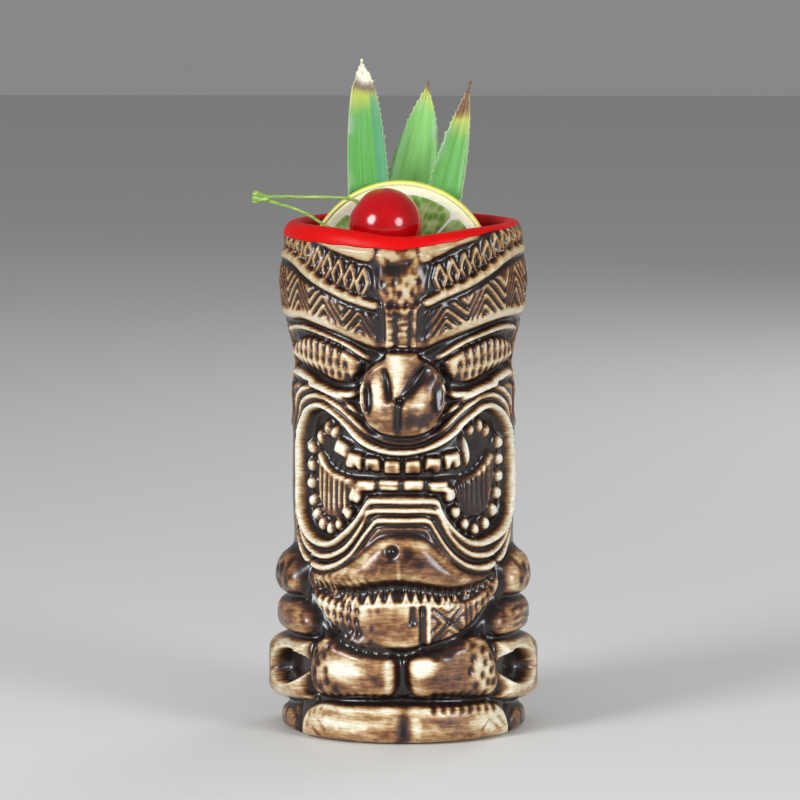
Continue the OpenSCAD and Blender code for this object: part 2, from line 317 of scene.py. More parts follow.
def smooth(pts, closed=False, gap=0.8):
    """A curve through the points, about a gap apart in mm."""
    p = np.array(pts, float)
    q = np.vstack([p[-1:], p, p[:2]] if closed else [2 * p[:1] - p[1:2], p, 2 * p[-1:] - p[-2:-1]])
    out = []
    for i in range(len(q) - 3):
        a, b, c, d = q[i : i + 4]
        t = np.linspace(0, 1, int(np.hypot(*(c - b)) / gap) + 2, endpoint=False)[:, None]
        bend = (2 * a - 5 * b + 4 * c - d) * t**2
        out.append(0.5 * (2 * b + (c - a) * t + bend + (3 * b - a - 3 * c + d) * t**3))
    return np.vstack(out + [p[:1] if closed else p[-1:]])


def straight(pts, closed=False):
    p = np.array(pts, float)
    return np.vstack([p, p[:1]]) if closed else p


def moved(line, dz):
    """The same line, dz mm higher."""
    return [(u, z + dz) for u, z in line]


def on_side(side, shift):
    """Leaves points alone on side 0 and puts them on the other side of the face on side 1."""
    return (lambda pts: flip(pts, shift)) if side else (lambda pts: pts)


def flip(pts, shift):
    """The same points on the other side of the face."""
    return [(shift - p[0],) + tuple(p[1:2]) + tuple((-v if i == 0 else v) for i,
        v in enumerate(p[2:])) for p in pts]


def soft(x, lo, hi):
    """A smooth step from 0 at lo to 1 at hi."""
    t = np.clip((x - lo) / (hi - lo), 0, 1)
    return t * t * (3 - 2 * t)


def blur(field, mm):
    """A soft average over the map, which joins at the back."""
    n = int(mm * 3 / STEP)
    kernel = np.exp(-0.5 * ((np.arange(-n, n + 1) * STEP) / mm) ** 2)
    kernel /= kernel.sum()
    wide = np.hstack([field[:, -n:], field, field[:, :n]])
    rows = sum(w * wide[:, i : i + COLS] for i, w in enumerate(kernel))
    tall = np.vstack([rows[:1]] * n + [rows] + [rows[-1:]] * n)
    return sum(w * tall[i : i + ROWS] for i, w in enumerate(kernel))


def carve():
    c = Carving()
    carve_brow(c)
    carve_eyes(c)
    carve_body(c)
    carve_mouth(c)
    carve_jaw(c)
    carve_nose(c)
    carve_back(c)
    return c


RAIL_LEFT = [(-60, 153), (-50, 152.4), (-39.3, 151.2), (-31.8, 147.9), (-25.7, 145), (-21.1, 143.1),
    (-16.6, 141.1), (-12.3, 139.7), (-8, 138.4)]
RAIL_RIGHT = [(7.6, 139.4), (10.9, 141.2), (15.1, 143), (19.4, 144.7), (24, 146.8), (29.2, 149.2),
    (35.4, 152), (44, 153.6), (60, 153.6)]
BROW_LEFT = [(-58, 131.8), (-41.7, 132.0), (-34.6, 132.6), (-26, 130.9), (-19.2, 128.9), (-13.1, 126.6),
    (-7.5, 124.6), (-4.6, 123.9)]
BROW_RIGHT = [(58, 132.6), (37.4, 133.1), (29.3, 132.2), (25.5, 131.3), (19, 129.6), (13, 127.4),
    (8.3, 125.3), (4.6, 124)]
ZIGZAG_LEFT = [(-64, 138), (-58, 148), (-52.5, 138), (-46.8, 147.6), (-41, 137.2), (-35, 145.1),
    (-30, 134.6), (-24.3, 141), (-18.1, 129.9), (-12.4, 136.2), (-6.4, 124.6)]
ZIGZAG_RIGHT = [(6.8, 126), (13.1, 137), (20.2, 131.8), (26.1, 144.4), (34.5, 136.2), (40, 148.8),
    (47.8, 138.6), (53, 149), (59, 139), (64, 149)]


def height_on(line):
    """The line's height as a function of its place round the body."""
    p = np.array(sorted(line))
    return lambda u: np.interp(u, p[:, 0], p[:, 1])


def front_only(U, Z):
    """Fades relief towards the sides, where the turned outline already holds it."""
    return 1 - 0.78 * soft(np.abs(U), 42, 56)


def side_end(U, Z):
    """Fades a rail out almost wholly before it reaches the turned outline at the sides."""
    return 1 - 0.97 * soft(np.abs(U), 44, 54)


def carve_brow(c):
    rail = height_on(RAIL_LEFT + [(0, 137.0)] + RAIL_RIGHT)
    edge = height_on(BROW_LEFT + [(0, 123.6)] + BROW_RIGHT)
    # the whole brow stands out over the eyes
    where, U, Z = c.window((-62, 120), (62, 161))
    swell = soft(Z, edge(U) - 0.6, edge(U) + 1.4) * (1 - soft(Z, rail(U) - 1.0, rail(U) + 1.0))
    c.height[where] += 0.9 * swell * (1 - soft(np.abs(U), 50, 60))
    c.stain_and_painted_light[where] += swell * (0.75 * (1 - soft(np.abs(U), 12, 26)) - 0.1)
    head = soft(Z, rail(U), rail(U) + 1.5)
    c.stain_and_painted_light[where] += head * (0.75 * (1 - soft(np.abs(U), 16, 34)) * soft(np.abs(U), 6, 9) + 0.1)
    c.height[where] -= 0.5 * head
    # broad raised foot of the zigzag band along the brow's lower edge
    for line in (BROW_LEFT, BROW_RIGHT):
        c.line(moved(line, 1.5), 1.9, 0.6, -0.75, power=4, limit=side_end)
        c.line(moved(line, -1.5), 0.9, -1.3, 1.1, taper=0.06, limit=front_only)
    # nested zigzags
    def band(U, Z):
        return soft(Z, edge(U) + 2.2, edge(U) + 3.2) * (1 - soft(Z, rail(U) - 4.2,
            rail(U) - 3.2)) * soft(np.abs(U), 6.0, 7.5) * front_only(U, Z)
    for line in (ZIGZAG_LEFT, ZIGZAG_RIGHT):
        for lift in (-6.8, -3.4, 0.0, 3.4, 6.8):
            c.line(moved(line, lift), 0.62, 0.75, -0.9, sharp=True, limit=band)
            c.line(moved(line, lift - 1.7), 0.55, -0.75, 1.25, sharp=True, limit=band)
    for line in (RAIL_LEFT, RAIL_RIGHT):
        c.line(line, 1.35, 1.9, -0.85, power=3, limit=side_end)
        c.line(moved(line, -2.4), 0.9, -0.9, 1.2, limit=front_only)
        c.line(moved(line, 1.9), 0.6, -0.5, 0.7, limit=front_only)
    # pale ledge under the lip, which thins out towards the temples
    c.form([(-8.8, 159.6), (-9.2, 152.5), (-16.2, 153.3), (-22, 154.8), (-29, 157.4), (-20, 159)], 1.3, 1.6,
        -2.3)
    c.form([(5.4, 159.6), (5.8, 152.6), (10.3, 153.9), (17, 156.8), (26, 159.0), (18, 160.6), (10, 160.2)],
        1.3, 1.6, -1.7)
    c.line([(-9.0, 150.9), (-16.4, 151.8), (-23, 153.6), (-30, 156.6)], 0.7, -0.6, 0.9, taper=0.2)
    c.line([(6.4, 151.2), (11, 152.4), (18, 155.4), (26, 157.6)], 0.7, -0.6, 0.9, taper=0.2)
    # tall lozenges with raised edges and dark hollows
    for side, line in ((-1, RAIL_LEFT), (1, RAIL_RIGHT)):
        for n in range(12):
            u = side * (11.6 + 4.05 * n)
            mid = float(rail(u)) + (5.5 if side < 0 else 5.0) - 0.05 * n
            tall = 4.8 - 0.14 * n
            lean = side * -0.35
            points = [(u + lean, mid + tall), (u + 1.6, mid), (u - lean, mid - tall), (u - 1.6, mid)]
            c.line(points, 0.56, 1.6, -1.8, closed=True, sharp=True, limit=front_only)
            c.dents([(u, mid)], 0.6, tall * 0.5, 0.35, 0.7)


EYE = [(-48.8, 120.9), (-42.6, 125.0), (-32.3, 126.9), (-23.1, 125.2), (-16.5, 122.8), (-13.2, 119.8),
    (-13.4, 116.2), (-16.8, 113.8), (-23.1, 113.4), (-32.4, 115.7), (-44.7, 117.9)]
LID = [(-50, 127.4), (-44.6, 128.6), (-38.5, 129.7), (-33, 129.5), (-27.4, 128.2), (-19.1, 125.6),
    (-13, 122.2), (-9.8, 119.8)]
LOWER_LID = [(-55, 112.6), (-46, 114.6), (-38.6, 113.9), (-32, 112.2), (-26, 110.6), (-19.2, 109.6),
    (-14.4, 110.9), (-11.6, 114.2)]


def carve_eyes(c):
    for side in (0, 1):
        turn = on_side(side, 0.6)
        c.form(turn([(-53, 121), (-46, 127.6), (-34, 128.8), (-24, 127.2), (-15, 123), (-8.6, 119),
            (-9.8, 112.0), (-17, 109.8), (-27, 111.0), (-38, 114.6), (-50, 115.8)]), -1.3, 2.2, 0.85)
        c.form(turn(EYE), 2.5, 3.0, -1.6, level=-0.9)
        c.line(turn(LID), 0.85, 1.5, -1.1, power=3, taper=0.08, limit=front_only)
        c.line(turn(moved(LID, 1.9)), 0.6, -0.5, 0.7, taper=0.1)
        c.line(turn(moved(LID, -1.9)), 0.6, -0.4, 0.7, taper=0.1)
        for lift in (0.6, -0.6):
            line = [(u, z + lift * np.interp(u, [-50, -20], [1.0, 0.1])) for u, z in LOWER_LID]
            c.line(turn(line), 1.17, 1.15, -0.75, power=4, taper=0.05, limit=front_only)
        c.line(turn(moved(LOWER_LID, -2.6)), 0.7, -1.0, 1.2, taper=0.05)
        mid = lambda u: 118.2 + (-u - 16) * 0.13
        c.dents(turn([(u, mid(u) + 4.6) for u in np.arange(-44, -18, 2.9)]), 0.66, 2.5, 0.9, 1.9)
        c.dents(turn([(u + 1.2, mid(u) + 0.2) for u in np.arange(-46, -17, 2.9)]), 0.78, 1.25, 0.95, 1.8)
        c.dents(turn([(u, mid(u) - 3.2) for u in np.arange(-44.4, -15, 2.9)]), 0.92, 1.15, 1.0, 2.0)
        c.dents(turn([(-14.6, 118.4), (-15.4, 115.4), (-18.6, 114.4)]), 1.6, 1.5, 0.2, 0.9)
        # folds of the cheek, which run down into the rings round the mouth
        c.line(turn([(-56, 107.6), (-48.2, 109.6), (-39, 110.4), (-30.4, 109.4), (-22, 106.6),
            (-15, 104.6)]), 0.7, 0.6, -0.8, taper=0.06, limit=front_only)
        # dark cheek and the hollow at the inner corner of the eye
        c.dents(turn([(-14.6, 105.8)]), 5.2, 5.0, 0.5, 0.75)
        c.dents(turn([(-8.6, 121.2)]), 3.4, 3.0, 0.7, 1.0)
        c.form(turn([(-54, 98), (-51.4, 112), (-51.6, 126), (-55, 131.5), (-61, 131), (-64.5, 122),
            (-64, 106), (-59, 97)]), 0.5, 1.4)
        c.line(turn([(-52.8, 100), (-51, 112), (-52.2, 126), (-56, 129.6)]), 0.6, -0.9, 0.9, taper=0.1)
        c.line(turn([(-60.6, 103), (-61.4, 115), (-60, 125), (-57.4, 126.6), (-55.6, 122), (-57, 112),
            (-58, 104)]), 0.7, -0.9, 0.8, taper=0.1)
    c.line([(46.4, 132), (47.6, 126), (48.2, 118), (48.6, 113)], 1.5, -1.0, 1.2, taper=0.15)


NOSE = [(u if z > 121 else 1.09 * u, z) for u, z in [(-4.4, 124.0), (-5.6, 121.4), (-8.8, 119.2),
    (-11.6, 115.6), (-12.3, 109), (-11.0, 103.2), (-7.6, 99.2), (-3.0, 97.4), (3.4, 97.4), (8.4, 99.2),
    (11.6, 103.6), (13.0, 109), (12.2, 115.6), (9.0, 119.6), (5.8, 121.6), (4.4, 124.0)]]


def carve_nose(c):
    c.line([(-13.4, 119.6), (-14.4, 109), (-12.8, 101.2), (-8.4, 96.0), (-3.0, 94.4), (3.4, 94.4),
        (9.2, 96.0), (13.6, 101.2), (15.0, 109), (14, 119.6)], 1.5, -1.3, 1.3, taper=0.05)
    c.form(NOSE, 3.4, 2.8, 0.75, level=0.2)
    c.dents([(0.1, 104.5)], 8.6, 7.6, -3.2, 0.1, power=3)
    c.dents([(0.0, 114)], 3.4, 9.5, -1.3, 0, power=3)
    # bright crests on the bridge and on both wings: stain wiped almost clean, with painted highlights where
    # the lamps catch them
    c.dents([(-1.6, 119.0)], 3.2, 4.8, 0, -1.5, power=3)
    c.dents([(-0.9, 113.0)], 1.1, 5.0, 0, -1.2, power=3)
    c.dents([(-6.9, 110.6, 4)], 1.8, 6.4, 0, -1.7, power=3)
    c.dents([(5.6, 108.8, -18)], 2.5, 3.6, 0, -1.5, power=3)
    c.dents([(-4.6, 102.2)], 4.6, 2.6, 0, -0.4)
    c.dents([(10.9, 112.6)], 0.9, 3.6, 0, -0.8)
    c.dents([(1.0, 108.2)], 1.0, 2.6, 0, -1.2)
    c.stain_and_highlight_patch(2.0, 113.6, 2.6, 3.6, 1.3, (0.7, 3.0), 3, 0.2)
    c.stain_and_highlight_patch(9.0, 116.4, 3.6, 2.6, 1.2, (1.6, 1.4), 4, 0.25)
    # nostril hollows at the sides and the grooves that mark off the middle
    c.dents([(-10.2, 109.4, 6)], 1.45, 4.7, 2.4, 2.4, power=4)
    c.line([(-12.2, 114), (-12.6, 109), (-11.6, 104)], 0.5, 0.6, -1.8, taper=0.2)
    c.dents([(11.2, 109.6, -10)], 1.9, 4.8, 1.4, 0.1, power=4)
    c.stain_and_highlight_patch(11.2, 109.6, 2.0, 5.0, 1.2, (0.9, 1.4), 8, 0.1)
    c.line([(13.2, 114), (13.9, 109), (12.8, 104)], 0.5, 0.6, -1.6, taper=0.2)
    c.line([(-5.4, 118.8), (-3.9, 112.6), (-3.0, 108.2)], 0.9, -1.5, 1.9, taper=0.15)
    c.line([(8.4, 119.4), (5.6, 115.8), (3.4, 113.2), (0.8, 110.4), (-0.8, 107.6)], 1.6, -1.7, 2.1,
        taper=0.08)
    c.line([(-0.6, 109.8), (-1.0, 104), (-0.9, 97.6)], 1.15, -1.9, 2.2, taper=0.05)
    c.dents([(1.6, 101.0)], 1.3, 4.4, 0.2, 1.0)
    c.dents([(7.2, 118.4)], 2.6, 2.2, 0.6, 1.2)
    c.stain_and_highlight_patch(5.6, 101.5, 4.5, 4.6, 1.1, (1.6, 1.3), 5, 0.1)
    c.stain_and_highlight_patch(-5.6, 100.6, 5.0, 4.0, 0.9, (4.0, 0.8), 6, 0.15)
    c.stain_and_highlight_patch(9.6, 108.0, 2.8, 7.0, 0.8, (0.9, 2.2), 7)
    # bridge over the nose: three notched columns, with a mottled brow above them
    c.form([(-4.6, 137.4), (-4.7, 124.8), (4.4, 124.8), (4.5, 137.4)], 1.4, 0.8, -1.6, sharp=True,
        level=0.4)
    c.stain_and_highlight_patch(0.6, 131, 5.4, 6.6, 1.2, (1.1, 1.3), 15, -0.02)
    c.stain_and_highlight_patch(0.4, 136.6, 4.8, 2.0, 2.2, (1.0, 1.6), 16, 0.16)
    c.stain_and_highlight_patch(3.6, 130.6, 1.2, 5.0, 0.7, (0.8, 2.2), 17, 0.1)
    c.form([(-7.8, 156), (-7.6, 146), (-6.0, 139.6), (-4.0, 136.0), (3.8, 136.0), (6.2, 139.8), (7.8, 146),
        (8.0, 156)], 1.15, 2.6, 0.1)
    c.line([(-1.9, 136.4), (-1.5, 134.6), (-2.1, 133), (-1.5, 130.8), (-2.1, 128.8), (-1.6, 126.8),
        (-1.9, 125)], 0.62, -1.0, 2.4)
    c.line([(2.3, 136.4), (2.5, 131), (2.3, 125)], 0.55, -0.9, 2.0)
    for n in range(6):
        z = 135.4 - 2.0 * n
        c.line([(-3.8, z), (-1.6, z - 0.2)], 0.36, -0.5, 1.2, sharp=True)
        c.line([(-1.1, z - 1.0), (1.9, z - 1.1)], 0.36, -0.5, 0.6, sharp=True)
    c.dents([(3.8, 134.4), (3.7, 129.6), (3.8, 126.4)], 0.7, 1.2, 0.3, 1.1)
    c.dents([(-6.8, 131.4), (7.0, 132.0)], 1.9, 7.0, 0.5, 1.1, power=4)
    c.line([(-6.5, 123.8), (6.5, 123.8)], 0.9, -1.2, 1.4, taper=0.1)
    c.dents([(-2.3, 150.2)], 2.7, 2.8, 0.3, 1.5, power=3)
    c.stain_and_highlight_patch(4.2, 149.6, 2.0, 4.0, -1.7, (1.0, 2.0), 18, 0.3)
    c.dents([(-7.6, 149.6), (6.4, 149.4)], 1.2, 4.0, 0.5, 1.0)
    # painted highlights: two bluish-white glints of the glaze at the top of the patch, under the lip
    c.stain_and_highlight_patch(-4.2, 155.4, 3.6, 3.6, -3.4, (1.3, 2.4), 13, 0.45)
    c.stain_and_highlight_patch(3.0, 155.8, 2.0, 3.2, -3.0, (1.0, 2.2), 14, 0.4)
    c.dents([(2.3, 153.0)], 1.4, 1.8, 0.7, 1.6)
    c.stain_and_highlight_patch(0.0, 142.0, 6.4, 5.2, -2.3, (1.7, 2.4), 11, 0.3)
    c.stain_and_highlight_patch(2.2, 148.4, 5.0, 4.0, -1.3, (1.2, 2.4), 12, 0.1)
    marks = [(-5.4, 145.2), (-2.2, 145.8), (1.4, 145.0), (4.6, 145.8), (-4.0, 142.2), (-0.6, 141.8),
        (3.0, 142.6), (5.8, 141.6), (-2.6, 139.2), (1.2, 138.8), (4.0, 139.6), (-3.4, 136.8), (-0.4, 136.2),
        (2.9, 136.9)]
    c.dents(marks, 0.75, 1.25, 0.5, 1.15)


MOUTH_TOP = [(-40.6, 84), (-39.9, 95.5), (-36.4, 102.4), (-31.2, 104.9), (-27.2, 104.7), (-23.6, 103.2),
    (-19, 100.1), (-15.8, 97), (-12.1, 94.2), (-6.7, 92.3), (-0.5, 91.6), (5.7, 92.3), (12, 94.2),
    (17, 97.1), (20.9, 100.4), (25.6, 103.2), (29.4, 104.7), (34, 104.4), (39.4, 101.4), (43.4, 95.4),
    (45.2, 84)]
MOUTH_LOW = [(45, 73.5), (42.6, 67.5), (36.1, 63.8), (28.6, 62.2), (22.5, 63.3), (17.8, 66.5), (14.4, 70.5),
    (12.4, 74.2), (10.6, 76.5), (0.5, 76.9), (-9.6, 76.7), (-12.1, 74.4), (-14.8, 70.4), (-19, 66.2),
    (-24.8, 62.4), (-31.4, 62.2), (-37.3, 65.3), (-40.6, 71.5)]
RINGS_UP = [
    [(-44.6, 92), (-43.4, 99.2), (-40, 105), (-34, 108), (-27.6, 108), (-21, 105), (-15.2, 100.7),
    (-9.8, 97), (-4.2, 95.0), (0.4, 94.6), (5.2, 95.0), (10.6, 97.2), (16, 100.8), (21.6, 105.2),
    (28, 108.2), (35, 108.2), (42, 104.4), (46.6, 98), (48.4, 90)],
    [(-48, 94), (-46.4, 102.1), (-42, 108.2), (-35, 111.0), (-27.4, 110.8), (-19.8, 107.6), (-13.6, 103.2),
    (-8.6, 99.6)],
    [(9.4, 99.6), (14.6, 103.4), (20.6, 107.8), (28, 111.0), (36, 111.0), (44, 107), (49, 101), (51, 94)],
]
RINGS_LOW = [
    [(-43.8, 78), (-42.4, 67), (-38.2, 60.8), (-31.6, 58.0), (-25.6, 58.0), (-19.8, 60.6), (-15.8, 64.6),
    (-12.4, 69.6), (-10.2, 73.1), (0.5, 73.5), (10.8, 73.0), (13.2, 69.4), (16.8, 64.2), (21.4, 60.2),
    (26.6, 58.2), (33.6, 58.4), (40.2, 61.6), (44.6, 67), (47.6, 78)],
    [(-46.6, 70), (-43, 61.0), (-36.6, 55.8), (-29, 54.2), (-22.8, 55.4), (-17.2, 59.0), (-13.0, 64.4),
    (-9.0, 69.4), (-7.6, 70.3), (0.5, 70.5), (8.4, 70.2), (10.6, 67.6), (13.8, 62.6), (18.4, 57.6),
    (24.4, 54.6), (32, 54.4), (39.6, 57.2), (45.2, 62.6), (48.6, 70)],
]
TEETH_LEFT = [(-36.7, 91.2), (-36.7, 85.6), (-36.6, 80.0), (-35.5, 74.6), (-33.2, 70.6), (-30.3, 67.6),
    (-26.4, 66.4), (-22.4, 67.8), (-18.6, 71.6), (-15.6, 77.2)]
TEETH_RIGHT = [(40.2, 92.6), (40.4, 87.4), (40.1, 82.0), (39.0, 76.7), (36.6, 71.5), (32.2, 67.6),
    (26.9, 66.0), (22.4, 68.2), (18.8, 72.2), (16.9, 77.8)]
TEETH_UPPER = [(-31.4, 95.0, 20), (-27.9, 98.2, 10), (-24.5, 97.2, -25), (25.0, 98.4, 5), (29.2, 99.2, 0),
    (32.4, 97.2, -20)]
TEETH_BLOCKS = [(-21.5, 92.3, -22, 1.0), (-16.7, 88.5, -12, 1.1), (-9.9, 87.8, 4, 0.96),
    (-3.2, 87.3, -2, 1.02), (3.7, 87.4, 2, 1.0), (10.7, 87.7, -6, 1.0), (17.7, 88.7, 9, 1.1)]


def carve_mouth(c):
    loop = MOUTH_TOP + MOUTH_LOW
    c.form(loop, -3.1, 2.6, 1.05)
    c.line(loop, 1.15, 2.5, -1.35, closed=True, power=3)
    c.rim(loop, 2.2, 0.9, -0.3, 1.7)
    for rings, inwards, outer_depth in ((RINGS_UP, -1.6, -0.7), (RINGS_LOW, 1.7, -0.8)):
        for ring in rings:
            c.line(ring, 0.8, 1.2, -1.0, power=3, taper=0.03, limit=front_only)
            c.line(moved(ring, inwards), 0.45, -0.9, 1.0, taper=0.03)
            c.line(moved(ring, -inwards), 0.45, outer_depth, 1.0, taper=0.03)
    c.line([(-19, 55.6), (-13.4, 60.4), (-9, 65.6), (-6, 67.5), (0.5, 67.7), (7, 67.5), (9.4, 64.8),
        (13.8, 59.2), (18.6, 55.2)], 0.5, 0.5, -0.5, taper=0.08)
    # fluted cheeks inside the mouth
    lobes = [(-32, 90.8), (-25.7, 84.8), (-16, 82.0), (-17.2, 75.4), (-19.6, 72.3), (-23.1, 69.8),
        (-28.5, 70.4), (-31.4, 74.2), (-32.8, 81.9)], [(35.2, 90.2), (37.2, 85.3), (36, 78.7), (33.4, 72.3),
        (27.9, 69.9), (22.4, 71.0), (19.4, 75.4), (18.4, 80.0), (20.7, 82.1), (28, 84.6)]
    for lobe, side in zip(lobes, (-1, 1)):
        c.form(lobe, 2.1, 2.4, -1.0 if side < 0 else -0.2)
        c.stain_and_highlight_patch(side * 25, 77, 8, 9, 0.8, (0.8, 5), 21 + side, -0.1 if side < 0 else 0.2)
        for n in range(7):
            u = side * (18.8 + 2.15 * n)
            top = float(np.interp(abs(u), [16, 25, 33], [80.5, 83, 89]))
            c.line([(u, top), (u + side * 0.2, 71.0 + abs(n - 3) * 0.7)], 0.42, -0.5, 1.0, sharp=True,
                taper=0.2)
            c.line([(u + side * 1.0, top + 0.4), (u + side * 1.2, 71.4 + abs(n - 3) * 0.7)], 0.45, 0.45,
                -1.6 if side < 0 else -0.9, sharp=True, taper=0.2)
    c.line([(-32.4, 90.4), (-26, 84.6), (-16.4, 82.2)], 0.85, 0.8, -1.4, taper=0.1)
    c.line([(35.6, 90), (28.4, 84.4), (19.2, 82.2)], 0.85, 0.8, -1.4, taper=0.1)
    for n in range(5):
        c.line([(-28.8 + 2.3 * n, 87.6 - 1.1 * n), (-27.4 + 2.3 * n, 90.6 - 1.2 * n)], 0.5, -0.4, 1.0,
            sharp=True)
        c.line([(31.4 - 2.5 * n, 87.2 - 1.0 * n), (30.0 - 2.5 * n, 90.0 - 1.1 * n)], 0.5, -0.4, 1.0,
            sharp=True)
    # tongue: four blocks with dark gaps between them
    c.form([(-19, 83.2), (0.5, 83.2), (19, 83.4), (17, 78.6), (0.5, 78.3), (-16, 78.6)], 1.0, 1.2, 0.3)
    c.dents([(-12.4, 80.9), (-4.4, 81.2), (4.0, 81.3), (12.6, 80.6)], 3.5, 1.7, -1.6, -3.0, power=6)
    c.dents([(4.0, 81.0), (12.8, 80.6), (-13.0, 80.4)], 1.9, 0.9, 0, 1.1)
    c.line([(-7, 81.2), (-1.6, 81.2)], 0.3, -0.5, 1.6, sharp=True)
    # teeth
    c.dents(TEETH_UPPER, 1.7, 2.5, -2.4, -1.9, power=3)
    c.dents(TEETH_BLOCKS, 2.85, 2.35, -2.9, -2.3, power=6)
    c.dents([(-19, 90.6), (-13.3, 87.9), (-6.6, 87.6), (0.3, 87.4), (7.2, 87.6), (14.2, 88.2)], 0.55, 1.9,
        0.6, 1.2)
    c.dents([(22.8, 91.6, 12)], 1.2, 4.9, -2.8, -2.9, power=4)
    c.dents([(-9.8, 87.0), (-3.2, 86.6), (3.7, 86.6), (10.8, 86.4)], 2.2, 1.3, 0, 1.9, power=3)
    c.dents(TEETH_LEFT + TEETH_RIGHT, 2.15, 2.35, -2.8, -3.0, power=4)
    for side in (TEETH_LEFT, TEETH_RIGHT):
        between = [((a[0] + b[0]) / 2, (a[1] + b[1]) / 2) for a, b in zip(side[:-1], side[1:])]
        c.dents(between, 1.1, 1.1, 0.9, 2.4)
    c.dents([(-16.2, 86.0), (17.6, 86.9), (9.4, 85.4), (-10.9, 85.6)], 0.9, 1.5, 2.0, 2.4)
    c.dents([(-36.6, 85.2), (-36.4, 90.6), (40.0, 87.4), (39.8, 82), (38.8, 76.6), (35.8, 71.8)], 0.8, 0.8,
        0.7, 1.2)
    c.line([(-18, 84.6), (-8, 84.3), (1, 84.2), (10, 84.3), (19, 84.7)], 0.6, -0.6, 1.3)
    c.stain_and_highlight_patch(-29, 98, 8, 4, 0.8, (1.4, 1.4), 31)
    c.stain_and_highlight_patch(30, 99, 8, 4, 0.9, (1.4, 1.4), 32)


JAW = [(-33, 52.2), (-25.6, 53.1), (-19.5, 55), (-14.9, 57.9), (-11, 61.4), (-6.6, 64.4), (0.5, 65.4),
    (7.2, 64.3), (11.4, 61), (15.5, 57.2), (20, 54), (25.5, 52.4), (33, 53.4), (30, 50.9), (21.5, 49.4),
    (15.1, 49.0), (7, 50.4), (-1, 51.4), (-8.6, 50.6), (-14, 49.2), (-19.9, 49.0), (-26.5, 49.4),
    (-31.5, 50.8)]
BIB = [(-34, 50.4), (-32.7, 48.0), (-23.6, 44.8), (-14.9, 43.5), (-6.6, 44.3), (0.5, 44.7), (8.8, 44.3),
    (18.6, 43.6), (26.1, 45.6), (33, 49.4), (35.4, 51.5), (33.4, 46.6), (26.1, 40.2), (19.3, 35.2),
    (11.9, 32.4), (4.1, 30.2), (-0.4, 29.8), (-8.1, 30.2), (-16.3, 32.2), (-21.7, 35.4), (-27.8, 41.4)]


